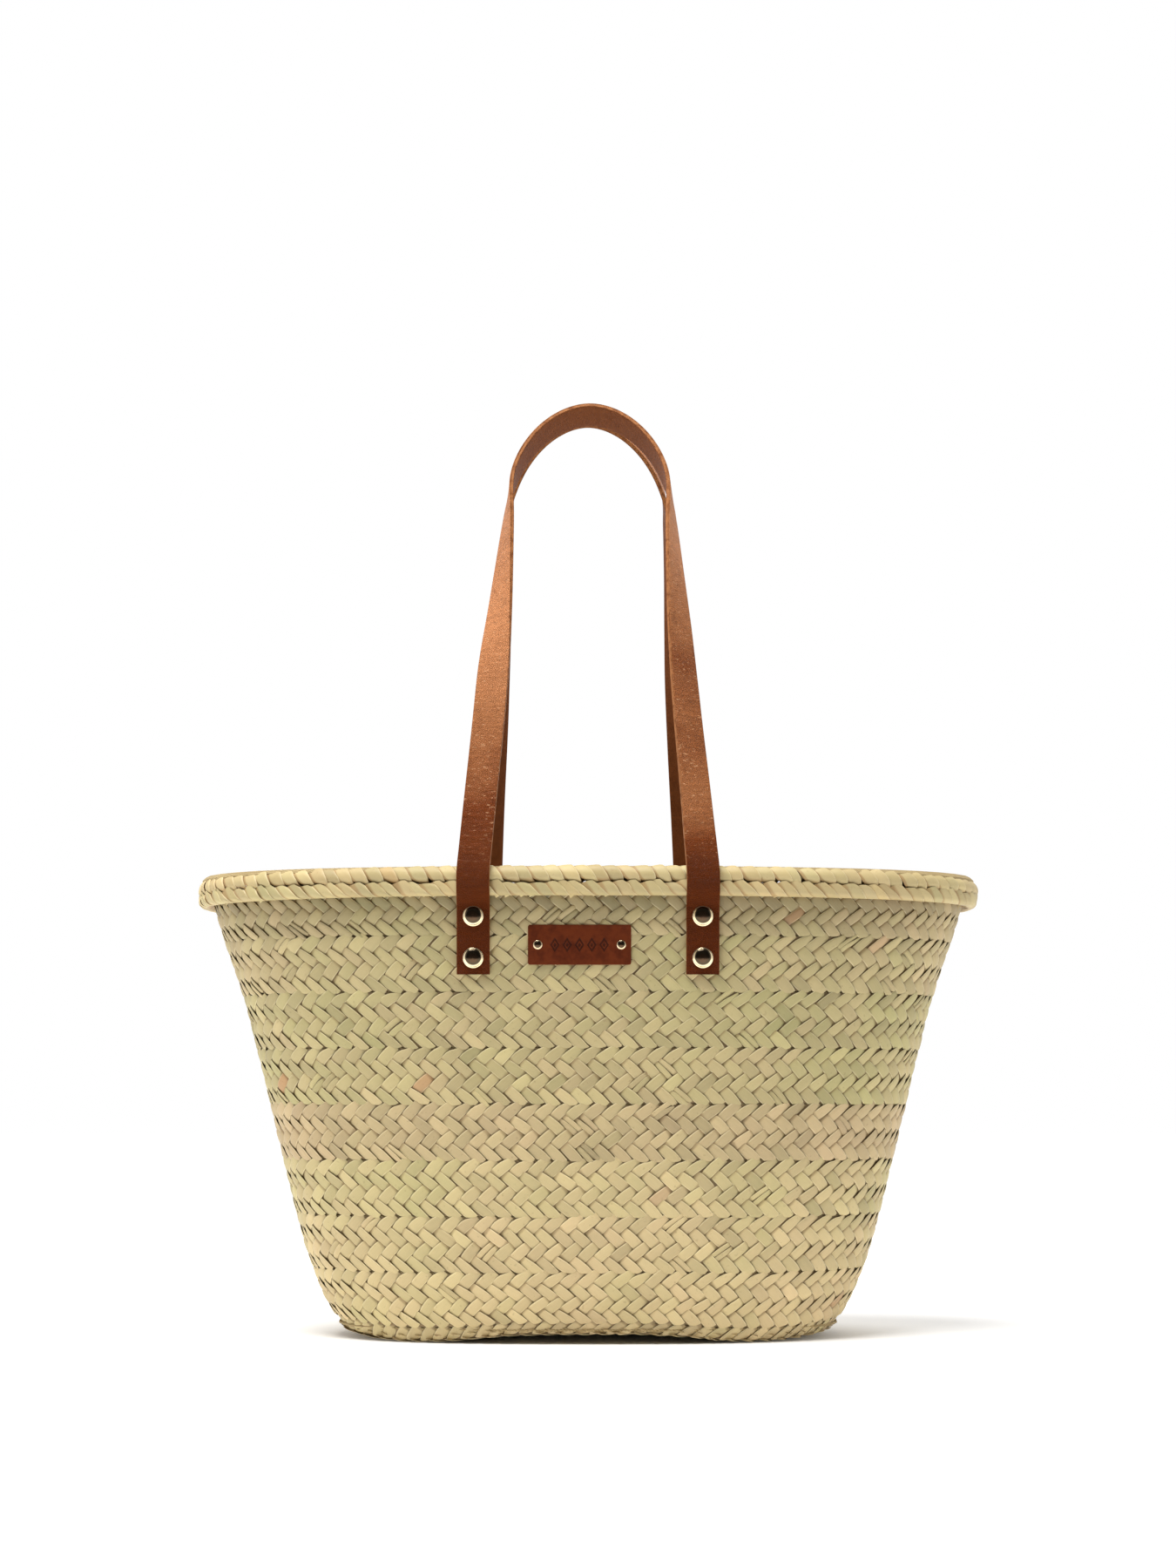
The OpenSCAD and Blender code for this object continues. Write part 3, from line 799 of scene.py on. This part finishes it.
def strap(name, front):
    """One long strap: riveted foot, leg, arch, leg, riveted foot."""
    side = "front" if front else "back"
    points, faces, twists = strap_stations(front)
    points, faces, twists = evenly(points, STATION_GAP, faces, twists)
    points, faces, twists = blur(points, 2.4), unit_rows(blur(faces, 3)), blur(twists, 5)
    tangent = unit_rows(np.gradient(points, axis=0))
    faces = unit_rows(faces - (faces * tangent).sum(-1, keepdims=True) * tangent)
    across = np.cross(tangent, faces)
    cos, sin = np.cos(twists)[:, None], np.sin(twists)[:, None]
    wide = cos * across - sin * faces
    grain = cos * faces + sin * across
    outline = strap_outline()
    s = np.concatenate([[0], np.cumsum(np.linalg.norm(np.diff(points, axis=0), axis=1))])
    # Leather never lies dead flat: it cups and ripples very slightly
    cup = 0.25 * MM * np.sin(s / 0.061) + 0.18 * MM * np.sin(s / 0.023 + 1.3)
    edge_wave = 0.25 * MM * np.sin(s / 0.047 + 0.7) + 0.15 * MM * np.sin(s / 0.017)
    ends = np.clip(np.minimum(s, s[-1] - s) / 0.08, 0, 1)
    w, o = outline[:, 0][None, :], outline[:, 1][None, :]
    rel = w / (STRAP_W / 2)
    bend = (cup * ends)[:, None] * (rel**2 - 0.4)
    grid = (
        points[:, None, :]
        + (w + (edge_wave * ends)[:, None] * 0.6)[..., None] * wide[:, None, :]
        + (o + bend)[..., None] * grain[:, None, :]
    )
    n, m = grid.shape[:2]
    body = grid_faces(1, n, m)
    seam = np.array([[i * m + m - 1, (i + 1) * m + m - 1, (i + 1) * m, i * m] for i in range(n - 1)])
    end_points = [grid[0].mean(0), grid[-1].mean(0)]
    end_faces = [[n * m, j, (j + 1) % m] for j in range(m)]
    end_faces += [[n * m + 1, (n - 1) * m + (j + 1) % m, (n - 1) * m + j] for j in range(m)]
    quads = np.concatenate([body, seam])[:, ::-1]
    place = np.stack(np.broadcast_arrays(s[:, None], w, o / (STRAP_T / 2)), axis=-1).reshape(-1, 3)
    place = np.concatenate([place, [(0, 0, 0), (s[-1], 0, 0)]])
    # The right leg's place on the colour ramp comes from its own table: painted light and shade apart from
    # the left leg
    from_foot = np.where(s < s[-1] / 2, np.interp(s / MM, *RIGHT_LEG_SHADE) * MM, s[-1] - s)
    height = np.concatenate([np.repeat(from_foot, m), [0, 0]])
    grid_points = np.concatenate([grid.reshape(-1, 3), end_points])
    if not front:
        grid_points = grid_points * [-1, -1, 1]
    piece = polygon_object(name, grid_points, list(quads) + end_faces, place, height)
    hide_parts(f"{side}_handle", f"{side}_left_tab", f"{side}_right_tab")
    return piece


def polygon_object(name, points, faces, place, height):
    """An object from quads and triangles together, with leather places on its points."""
    mesh = bpy.data.meshes.new(name)
    mesh.from_pydata([tuple(p) for p in points], [], [tuple(int(i) for i in f) for f in faces])
    mesh.polygons.foreach_set("use_smooth", np.array([len(f) == 4 for f in faces]))
    layer = mesh.attributes.new("strap_place", "FLOAT_VECTOR", "POINT")
    layer.data.foreach_set("vector", np.asarray(place, np.float32).ravel())
    layer = mesh.attributes.new("strap_height", "FLOAT", "POINT")
    layer.data.foreach_set("value", np.asarray(height, np.float32))
    mesh.update(calc_edges=True)
    made = bpy.data.objects.new(name, mesh)
    bpy.context.scene.collection.objects.link(made)
    return made


# ---------------------------------------------------------------- rivets and label

CAP_PROFILE = [
    (0, 1.0), (0.2, 0.985), (0.38, 0.94), (0.54, 0.86), (0.68, 0.745), (0.79, 0.61), (0.865, 0.47),
    (0.9, 0.37), (0.93, 0.34), (0.97, 0.32), (1.0, 0.24), (1.0, 0.1), (0.985, 0),
]


def clusters(node, middle_z):
    """The separate parts of a node: points split by side, front and back, and low and high."""
    co = np.array([v.co for v in frame["nodes"][node].data.vertices])
    middle_x = (co[:, 0].min() + co[:, 0].max()) / 2
    key = (co[:, 0] > middle_x) * 1 + (co[:, 1] > 0) * 2
    if middle_z is not None:
        key = key + (co[:, 2] > middle_z) * 4
    return [co[key == k] for k in np.unique(key)]


def flat_frame(points):
    """Middle, level direction, up direction and outward normal of a thin part on the wall."""
    middle = (points.min(0) + points.max(0)) / 2
    axes = np.linalg.svd(points - points.mean(0))[2]
    normal = axes[2] * np.sign(axes[2] @ [0, middle[1], 0])
    level = np.cross([0, 0, 1], normal)
    level /= np.linalg.norm(level)
    up = np.cross(normal, level)
    reach = (points - middle) @ normal
    return middle, level, up, normal, reach.min(), reach.max()


def caps(name, node, middle_z, sides=48):
    """Domed caps with a thin flat lip."""
    grids, places = [], []
    profile = np.array(CAP_PROFILE)
    turn = np.linspace(0, 2 * math.pi, sides, endpoint=False)
    for points in clusters(node, middle_z):
        middle, level, up, normal, back, face = flat_frame(points)
        radius = np.abs((points - middle) @ level).max()
        centre = middle + normal * back
        px = profile[:, 0][None, :] * radius * np.cos(turn)[:, None]
        py = profile[:, 0][None, :] * radius * np.sin(turn)[:, None]
        pz = profile[:, 1][None, :] * (face - back) + 0 * px
        grid = centre + px[..., None] * level + py[..., None] * up + pz[..., None] * normal
        grids.append(grid)
        places.append(np.stack([px / radius, py / radius, pz], axis=-1))
    grids, places = np.array(grids), np.array(places)
    faces = grid_faces(len(grids), sides, len(profile), close_rows=True, flip=True)
    piece = mesh_object(name, grids.reshape(-1, 3), faces, cap_place=places.reshape(-1, 3))
    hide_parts(node)
    return piece


LABEL_ROUND = 0.5 * MM
LABEL_CORNER = 1.4 * MM
FACE_RINGS = 64
LABEL_SIDES = 288
MOTIF_PITCH = 8 * MM
MOTIF_HALF_W = 3.1 * MM
MOTIF_HALF_H = 4.8 * MM
MOTIF_REACH = 20 * MM
MOTIF_DEPTH = 0.3 * MM


def motif_press(x, y):
    """How far the row of lozenges is pressed in, from 0 to 1."""
    near = np.abs(x - MOTIF_PITCH * np.round(x / MOTIF_PITCH))
    lozenge = 1 - near / MOTIF_HALF_W - np.abs(y) / MOTIF_HALF_H
    ridge = np.clip((lozenge - 0.3) / 0.14, 0, 1) * np.clip((0.76 - lozenge) / 0.14, 0, 1)
    return np.clip((lozenge + 0.06) / 0.14, 0, 1) * (1 - ridge) * (np.abs(x) < MOTIF_REACH)


def label(name, node):
    """A leather patch with softened edges, curved very slightly to the wall."""
    points = np.array([v.co for v in frame["nodes"][node].data.vertices])
    middle, level, up, normal, back, face = flat_frame(points)
    half_w = np.abs((points - middle) @ level).max()
    half_h = np.abs((points - middle) @ up).max()
    thick = face - back
    # Rings from the middle of the face out to the edge, down its side and back to the middle
    columns = [(k / FACE_RINGS, LABEL_ROUND, 0.0) for k in range(FACE_RINGS)]
    for a in (0, 0.5, 1.0, 1.57):
        columns.append((1.0, LABEL_ROUND * (1 - math.sin(a)), -LABEL_ROUND * (1 - math.cos(a))))
    columns += [(1.0, 0.0, -thick), (0.0, 0.0, -thick)]
    turn = np.linspace(0, 2 * math.pi, LABEL_SIDES, endpoint=False)
    grid = np.zeros((LABEL_SIDES, len(columns), 3))
    for k, (grow, inset, deep) in enumerate(columns):
        x, y = rounded_box(turn, half_w - inset, half_h - inset, LABEL_CORNER)
        grid[:, k] = np.stack([x * grow, y * grow, deep + 0 * x], axis=-1)
    x, y, z = grid[..., 0], grid[..., 1], grid[..., 2]
    curve = -0.3 * MM * (x / half_w) ** 2 + 0.3 * MM * (y / half_h) ** 2 * (x / half_w)
    out = face + z + curve - np.where(z > -thick / 2, MOTIF_DEPTH * motif_press(x, y), 0)
    world_points = middle + x[..., None] * level + y[..., None] * up + out[..., None] * normal
    faces = grid_faces(1, LABEL_SIDES, len(columns), close_rows=True, flip=True)
    place = np.stack([x, y, z / thick], axis=-1)
    piece = mesh_object(name, world_points.reshape(-1, 3), faces, label_place=place.reshape(-1, 3))
    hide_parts(node)
    return piece


def rounded_box(turn, a, b, corner):
    """Points round a rectangle with round corners, at directions spread evenly along it."""
    straight = np.array([2 * (a - corner), 2 * (b - corner)])
    arc = corner * math.pi / 2
    total = 2 * straight.sum() + 4 * arc
    s = (turn / (2 * math.pi) * total) % total
    x, y = np.zeros_like(s), np.zeros_like(s)
    at = 0.0
    legs = [
        ((a - corner, b), (-1, 0), straight[0]), ((corner - a, b - corner), 90, arc),
        ((-a, b - corner), (0, -1), straight[1]), ((corner - a, corner - b), 180, arc),
        ((corner - a, -b), (1, 0), straight[0]), ((a - corner, corner - b), 270, arc),
        ((a, corner - b), (0, 1), straight[1]), ((a - corner, b - corner), 0, arc),
    ]
    for (x0, y0), way, size in legs:
        here = (s >= at) & (s <= at + size)
        d = s[here] - at
        if isinstance(way, tuple):
            x[here], y[here] = x0 + way[0] * d, y0 + way[1] * d
        else:
            angle = math.radians(way) + d / corner
            x[here], y[here] = x0 + corner * np.cos(angle), y0 + corner * np.sin(angle)
        at += size
    return x, y


# ---------------------------------------------------------------- materials

class Socket:
    """A value in a material. Arithmetic on it adds Math nodes."""

    def __init__(self, finish, socket):
        self.finish, self.socket = finish, socket

    def math(self, operation, *values):
        return self.finish.add("ShaderNodeMath", {"operation": operation}, dict(enumerate(values)))

    def __add__(self, other):
        return self.math("ADD", self, other)

    def __radd__(self, other):
        return self.math("ADD", other, self)

    def __sub__(self, other):
        return self.math("SUBTRACT", self, other)

    def __rsub__(self, other):
        return self.math("SUBTRACT", other, self)

    def __mul__(self, other):
        return self.math("MULTIPLY", self, other)

    def __rmul__(self, other):
        return self.math("MULTIPLY", other, self)

    def __truediv__(self, other):
        return self.math("DIVIDE", self, other)

    def between(self, low, high):
        """0 below low, 1 above high, smooth between."""
        return self.finish.add(
            "ShaderNodeMapRange", {"interpolation_type": "SMOOTHSTEP"},
            {"Value": self, "From Min": low, "From Max": high},
        )


class Finish:
    """A material under construction."""

    def __init__(self, name):
        self.material = bpy.data.materials.new(name)
        self.material.use_nodes = True
        self.tree = self.material.node_tree
        self.tree.nodes.clear()

    def add(self, kind, settings, inputs, output=0):
        node = self.tree.nodes.new(kind)
        for key, value in settings.items():
            if key == "stops":
                ramp = node.color_ramp
                while len(ramp.elements) < len(value):
                    ramp.elements.new(0.5)
                for element, (place, colour) in zip(ramp.elements, value):
                    element.position, element.color = place, colour
            else:
                setattr(node, key, value)
        for key, value in inputs.items():
            if isinstance(value, Socket):
                self.tree.links.new(value.socket, node.inputs[key])
            else:
                node.inputs[key].default_value = value
        return Socket(self, node.outputs[output])

    def attribute(self, name, output="Vector"):
        return self.add("ShaderNodeAttribute", {"attribute_name": name}, {}, output)

    def split(self, vector):
        return [self.add("ShaderNodeSeparateXYZ", {}, {"Vector": vector}, k) for k in range(3)]

    def join(self, x, y, z):
        return self.add("ShaderNodeCombineXYZ", {}, {"X": x, "Y": y, "Z": z})

    def mix(self, a, b, factor, blend="MIX"):
        """Colour a turning into b by factor."""
        settings = {"data_type": "RGBA", "blend_type": blend, "clamp_factor": True}
        return self.add("ShaderNodeMix", settings, {0: factor, 6: a, 7: b}, 2)

    def noise(self, vector, scale, detail=2.0, roughness=0.5, output="Fac"):
        return self.add(
            "ShaderNodeTexNoise", {},
            {"Vector": vector, "Scale": scale, "Detail": detail, "Roughness": roughness}, output,
        )

    def bump(self, height, distance, strength=1.0):
        return self.add("ShaderNodeBump", {}, {"Height": height, "Distance": distance, "Strength": strength})

    def surface(self, **inputs):
        """The Principled shader; sockets are named with _ for a space."""
        shader = self.add(
            "ShaderNodeBsdfPrincipled", {},
            {key.replace("_", " "): value for key, value in inputs.items()}, "BSDF",
        )
        node = self.tree.nodes.new("ShaderNodeOutputMaterial")
        self.tree.links.new(shader.socket, node.inputs["Surface"])
        return self.material


def srgb(red, green, blue):
    """A colour given in 0 to 255 as it looks, as Blender's linear colour."""
    values = [c / 255 for c in (red, green, blue)]
    return [c / 12.92 if c <= 0.04045 else ((c + 0.055) / 1.055) ** 2.4 for c in values] + [1]


def leaf_finish(name, straw, green, brown, stain_and_shade, edge=0.45):
    """Dried palm leaf: fine veins along each leaf and each leaf its own tone, with painted shade where it
    dives and along its edges, and a painted highlight near its edges.
    """
    f = Finish(name)
    along, across, rel = f.split(f.attribute("leaf_place"))
    greenness, brownness, lightness = f.split(f.attribute("leaf_tint"))
    end = f.attribute("leaf_end", "Fac")
    here = f.add("ShaderNodeTexCoord", {}, {}, "Object")
    cloud = f.noise(here, 14.0, 2.0)
    veins = f.noise(f.join(along * 50, across * 1700, 0.0), 1.0, 3.0, 0.6)
    mottle = f.noise(f.join(along * 220, across * 300, cloud * 9), 1.0, 2.0)
    speck = f.noise(here, 420.0, 1.0)
    colour = f.mix(straw, green, greenness * 0.8 + cloud.between(0.5, 0.75) * 0.2)
    colour = f.mix(colour, brown, brownness * 0.55 + mottle.between(0.62, 0.8) * 0.12)
    colour = f.mix(colour, srgb(196, 142, 84), (brownness - 1.0).between(0.0, 0.6) * 0.6)
    # lightness is each leaf's own tone plus painted shade, set per course, per row under the rim and for the
    # core
    shade = 1 + lightness * 0.1 + (veins - 0.5) * 0.14 + (mottle - 0.5) * 0.07
    colour = f.mix(colour, f.join(shade, shade, shade), 1.0, "MULTIPLY")
    # Painted highlight near both long edges of each leaf, left off where it dives
    glint = (rel * rel).between(0.6, 0.8) * (1 - (rel * rel).between(0.86, 1.0)) * (1 - end)
    colour = f.mix(colour, srgb(244, 232, 190), glint * 0.3)
    # Painted shade: leaves are drawn darker at their long edges and where they dive; the specks are real
    dark = (rel * rel).between(0.88, 1.0) * edge + end.between(0.3, 1.0) * 0.5
    colour = f.mix(colour, stain_and_shade, dark + speck.between(0.68, 0.78) * 0.2)
    return f.surface(
        Base_Color=colour,
        Roughness=0.48 + veins * 0.16,
        Normal=f.bump(veins * 0.8 + mottle * 0.5, 0.00022, 0.55),
        IOR=1.45,
    )


def fibre_finish(name):
    """Twisted palm fibre cord."""
    f = Finish(name)
    here = f.add("ShaderNodeTexCoord", {}, {}, "Object")
    strands = f.add("ShaderNodeTexWave", {"wave_type": "BANDS", "bands_direction": "DIAGONAL"},
                    {"Vector": here, "Scale": 260.0, "Distortion": 3.0, "Detail": 2.0}, "Fac")
    patch = f.noise(here, 60.0, 3.0)
    colour = f.mix(srgb(150, 126, 84), srgb(196, 174, 124), strands * 0.6 + patch * 0.4)
    return f.surface(Base_Color=colour, Roughness=0.7 + patch * 0.15, Normal=f.bump(strands, 0.0004, 0.7))


def leather_finish(name):
    """Thick tanned strap leather: a pebbled grain side, a plain flesh side and pale cut edges."""
    f = Finish(name)
    along, across, face = f.split(f.attribute("strap_place"))
    height = f.attribute("strap_height", "Fac")
    here = f.add("ShaderNodeTexCoord", {}, {}, "Object")
    cloud = f.noise(here, 26.0, 3.0)
    plane = f.join(along, across, face * 0.002)
    pebble = f.add("ShaderNodeTexVoronoi", {"feature": "DISTANCE_TO_EDGE"},
                   {"Vector": plane, "Scale": 850.0, "Randomness": 1.0}, "Distance")
    grain = pebble.between(0.0, 0.28)
    patch = f.noise(plane, 190.0, 4.0, 0.6)
    crease = f.noise(f.join(along * 420, across * 60 + cloud * 6, 0.0), 1.0, 2.0)
    highlight_flecks = f.noise(f.join(along * 700, across * 260, cloud * 9), 1.0, 2.0).between(0.6, 0.74)
    # The grain side's colour up from each foot: dark and red low down, lighter up the loop. This is partly
    # dye and partly painted light, where the strap turns towards the light.
    tone = f.add("ShaderNodeValToRGB", {"stops": [
        (0.0, srgb(92, 36, 0)), (0.15, srgb(98, 42, 4)), (0.25, srgb(124, 60, 20)),
        (0.37, srgb(174, 110, 66)), (0.52, srgb(210, 140, 92)), (1.0, srgb(184, 118, 74)),
    ]}, {"Fac": height * 2.1 + (cloud - 0.5) * 0.16}, "Color")
    tone = f.mix(tone, srgb(86, 36, 8), patch.between(0.54, 0.76) * 0.4)
    # Painted highlight: pale flecks, kept off the low part of each leg
    tone = f.mix(tone, srgb(236, 180, 134), highlight_flecks * height.between(0.06, 0.12) * 0.5)
    # Painted shade in the grain's pits and in the creases
    shade = 0.8 + grain * 0.22 + (crease - 0.5) * 0.42
    tone = f.mix(tone, f.join(shade, shade, shade), 1.0, "MULTIPLY")
    flesh = f.mix(srgb(108, 58, 28), srgb(138, 82, 46), patch)
    cut = f.mix(srgb(168, 110, 66), srgb(124, 72, 38), patch.between(0.4, 0.7))
    colour = f.mix(cut, tone, face.between(0.72, 0.98))
    colour = f.mix(colour, flesh, (0 - face).between(0.72, 0.98))
    relief = (grain * 0.7 + crease * 1.2 + patch * 0.9) * (face.between(0, 0.9) * 0.8 + 0.2)
    return f.surface(
        Base_Color=colour,
        Roughness=0.5 - face.between(0.5, 1.0) * 0.1 + patch * 0.12,
        Normal=f.bump(relief, 0.0006, 0.9),
        Specular_IOR_Level=0.1,
    )


def label_finish(name):
    """Label leather, with a row of pressed lozenges."""
    f = Finish(name)
    x, y, depth = f.split(f.attribute("label_place"))
    here = f.add("ShaderNodeTexCoord", {}, {}, "Object")
    patch = f.noise(here, 160.0, 4.0, 0.6)
    fine = f.noise(here, 1400.0, 2.0)
    near = x.math("PINGPONG", x, MOTIF_PITCH / 2)
    lozenge = 1 - near / MOTIF_HALF_W - y.math("ABSOLUTE", y) / MOTIF_HALF_H
    inside = 1 - x.math("ABSOLUTE", x).between(MOTIF_REACH - MM, MOTIF_REACH)
    ridge = lozenge.between(0.36, 0.46) * (1 - lozenge.between(0.62, 0.72))
    pressed = lozenge.between(-0.04, 0.06) * inside * (1 - ridge)
    colour = f.mix(srgb(100, 42, 14), srgb(80, 30, 8), patch.between(0.35, 0.7))
    colour = f.mix(colour, srgb(46, 18, 8), pressed * 0.75)
    colour = f.mix(colour, srgb(150, 92, 62), (0 - depth).between(0.05, 0.2) * 0.7)
    return f.surface(
        Base_Color=colour,
        Roughness=0.5 + patch * 0.14,
        Specular_IOR_Level=0.1,
        Normal=f.bump(fine * 0.15 + patch * 0.25 - pressed * 0.6, 0.00025, 0.8),
    )


def metal_finish(name, capped):
    """Polished pale gold. Caps carry a painted reflection in their colour: the dark room above them and the
    pale table below.
    """
    f = Finish(name)
    here = f.add("ShaderNodeTexCoord", {}, {}, "Object")
    haze = f.noise(here, 300.0, 2.0)
    colour = f.mix(srgb(236, 212, 168), srgb(250, 232, 196), haze)
    if capped:
        x, y, _ = f.split(f.attribute("cap_place"))
        # Painted reflection: a dark patch over most of each cap, with a pale crescent below and a brownish
        # spot in its middle
        away = x * x + y * y
        lower = y - 0.12
        painted_reflection = 1 - (x * x + lower * lower).between(0.56, 0.7)
        deep = f.mix(srgb(34, 26, 18), srgb(86, 48, 26), (1 - away).between(0.6, 1.0) * 0.6)
        colour = f.mix(colour, deep, painted_reflection * 0.93)
    return f.surface(Base_Color=colour, Metallic=1.0, Roughness=0.14 + haze * 0.08)


# The fourth colour of each leaf finish is for specks and for painted shade; the rim's larger edge value
# draws darker painted shade between its wraps
PALM = leaf_finish("palm_leaf", srgb(206, 186, 137), srgb(184, 177, 118), srgb(206, 174, 136),
                   srgb(116, 86, 46))
RIM = leaf_finish("rim_leaf", srgb(208, 188, 138), srgb(188, 180, 122), srgb(196, 156, 98),
                  srgb(150, 98, 46), edge=0.6)
FIBRE = fibre_finish("palm_fibre")
STRAP_LEATHER = leather_finish("strap_leather")
LABEL_LEATHER = label_finish("label_leather")
CAP_METAL = metal_finish("rivet_metal", True)
POST_METAL = metal_finish("rivet_metal_plain", False)


# ---------------------------------------------------------------- pieces

def dress(piece, material, body="basket"):
    piece.data.materials.clear()
    piece.data.materials.append(material)
    if body:
        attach(piece, body)
    return piece


SEAM_FOLD = 0.15    # slope of the folded ends at a seam, and of those over the band at the table
FOOT_FOLD = 0.42
RIM_SHADE = (0, 0.4, 1.9, 2.7)    # painted shade: the rows just under the rim are drawn darker, as if in its shadow
EDGE_TONE = (0.15, 0.35, 0.3)
EDGE_ROW = {"fold": 0.02, "wave": 0.4 * WAVE, "lap": -0.8 * MM}
for index, node in enumerate(COURSES):
    turn = wall_turn(f"braid_{index + 1}", node, COURSE_PITCH[index] * MM, ROWS, COURSE_TONES[index],
                     shade=RIM_SHADE if node == COURSES[-1] else (),
                     lowest={"fold": SEAM_FOLD if index else FOOT_FOLD}, highest={"pinch": True})
    dress(turn, PALM)
edge = wall_turn("braid_edge", "base_edge", EDGE_PITCH * MM, 1, EDGE_TONE, first=1, sink=EDGE_SINK,
                 lowest=EDGE_ROW)
dress(edge, PALM)

BAND_W = 2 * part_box("base_turn_2")[1][1] / 5    # the base is five bands deep
UNDER_EDGE = 4.4 * MM
OUTER_TONE = (0.2, 0.4, 0.1)
INNER_TONE = (0.3, 0.3, 0.1)
STRIP_TONE = (0.2, 0.45, 0.1)
dress(base_turn("base_braid_2", "base_turn_2", -UNDER_EDGE, BAND_W, OUTER_TONE), PALM)
dress(base_turn("base_braid_1", "base_turn_1", BAND_W, 2 * BAND_W, INNER_TONE), PALM)
dress(base_strip("base_middle", "base_strip", STRIP_TONE), PALM)
rings = cord_rings("base_lacing", "base_lacing_cord", (BAND_W, 2 * BAND_W), BRAID_T / 2, MM)
dress(rings, FIBRE)

dress(rim_wrap(), RIM)
dress(rim_welt(), RIM)

for name, body, front in (("front_strap", "front_handle", True), ("back_strap", "back_handle", False)):
    piece = dress(strap(name, front), STRAP_LEATHER, body=None)
    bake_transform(piece)

low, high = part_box("handle_rivet_caps")
dress(caps("handle_caps", "handle_rivet_caps", (low[2] + high[2]) / 2), CAP_METAL)
dress(caps("label_caps", "label_rivet_caps", None, sides=32), CAP_METAL)
dress(label("label", "label_patch"), LABEL_LEATHER)

for node, material in (
    ("wall_lacing_cord", FIBRE), ("rim_core", FIBRE), ("handle_rivet_posts", POST_METAL),
    ("handle_rivet_washers", POST_METAL), ("label_rivet_posts", POST_METAL),
):
    data = frame["nodes"][node].data
    data.materials.clear()
    data.materials.append(material)


# ---------------------------------------------------------------- stage and light

FLOOR_HALF = 12.0
CARD_HALF_W = 1.6
CARD_TOP = 2.0
CARD_Y = -1.15
KEY_PLACE = (-0.4, -0.7, 2.3)
KEY_TARGET = (0, 0, 0.2)
KEY_SIZE = 1.5
KEY_POWER = 68
POOL = 0.75       # how far the lit floor reaches before it fades into the surroundings
POOL_EDGE = 1.9


def flat_sheet(name, corners):
    """One flat face."""
    return mesh_object(name, np.array(corners), [[0, 1, 2, 3]], smooth=False)


def floor():
    """A pale floor whose far parts fade into the pale surroundings."""
    s = FLOOR_HALF
    made = flat_sheet("floor", [(-s, -s, 0), (s, -s, 0), (s, s, 0), (-s, s, 0)])
    f = Finish("pale_floor")
    x, y, _ = f.split(f.add("ShaderNodeTexCoord", {}, {}, "Object"))
    reach = x.math("SQRT", x * x + y * y)
    far = reach.between(POOL, POOL_EDGE)
    near = 1 - far
    # Painted light: the floor glows a little a short way out from the basket, which lightens the basket's
    # cast shadow; right by the basket it does not glow
    shadow_lift = x.math("SQRT", x * x + y * y * 2.4).between(0.12, 0.26)
    glow = far * 0.64 + shadow_lift * 0.36
    made.data.materials.append(f.surface(
        Base_Color=f.join(near * 0.9, near * 0.9, near * 0.9),
        Emission_Color=f.join(glow, glow, glow),
        Emission_Strength=1.0,
        Roughness=0.9,
        Specular_IOR_Level=0.1,
    ))


def area_light(name, location, target, size, power):
    data = bpy.data.lights.new(name, "AREA")
    data.shape = "DISK"
    data.size, data.energy = size, power
    light = bpy.data.objects.new(name, data)
    light.location = location
    light.rotation_euler = (Vector(target) - Vector(location)).to_track_quat("-Z", "Y").to_euler()
    bpy.context.scene.collection.objects.link(light)


def surroundings():
    """Pale all round, dimmer overhead."""
    world = bpy.data.worlds.new("studio")
    world.use_nodes = True
    tree = world.node_tree
    back = tree.nodes["Background"]
    place = tree.nodes.new("ShaderNodeTexCoord")
    split = tree.nodes.new("ShaderNodeSeparateXYZ")
    ramp = tree.nodes.new("ShaderNodeValToRGB")
    ramp.color_ramp.elements[0].position = 0.5
    ramp.color_ramp.elements[0].color = (1, 1, 1, 1)
    ramp.color_ramp.elements[1].position = 0.75
    ramp.color_ramp.elements[1].color = (0.3, 0.3, 0.31, 1)
    tree.links.new(place.outputs["Generated"], split.inputs[0])
    tree.links.new(split.outputs["Z"], ramp.inputs["Fac"])
    tree.links.new(ramp.outputs["Color"], back.inputs["Color"])
    back.inputs["Strength"].default_value = 1.0
    bpy.context.scene.world = world


def dark_card():
    """A dark card in front of the basket that only takes light away."""
    w, y = CARD_HALF_W, CARD_Y
    low, top = 2 * MM, CARD_TOP
    made = flat_sheet("dark_card", [(-w, y, low), (w, y, low), (w, y, top), (-w, y, top)])
    f = Finish("dark_card")
    made.data.materials.append(f.surface(Base_Color=srgb(70, 68, 66), Roughness=1.0, Specular_IOR_Level=0.0))
    made.visible_camera = False
    made.visible_shadow = False


floor()
dark_card()
area_light("key_light", KEY_PLACE, KEY_TARGET, KEY_SIZE, KEY_POWER)
surroundings()
bpy.context.scene.view_settings.view_transform = "Standard"
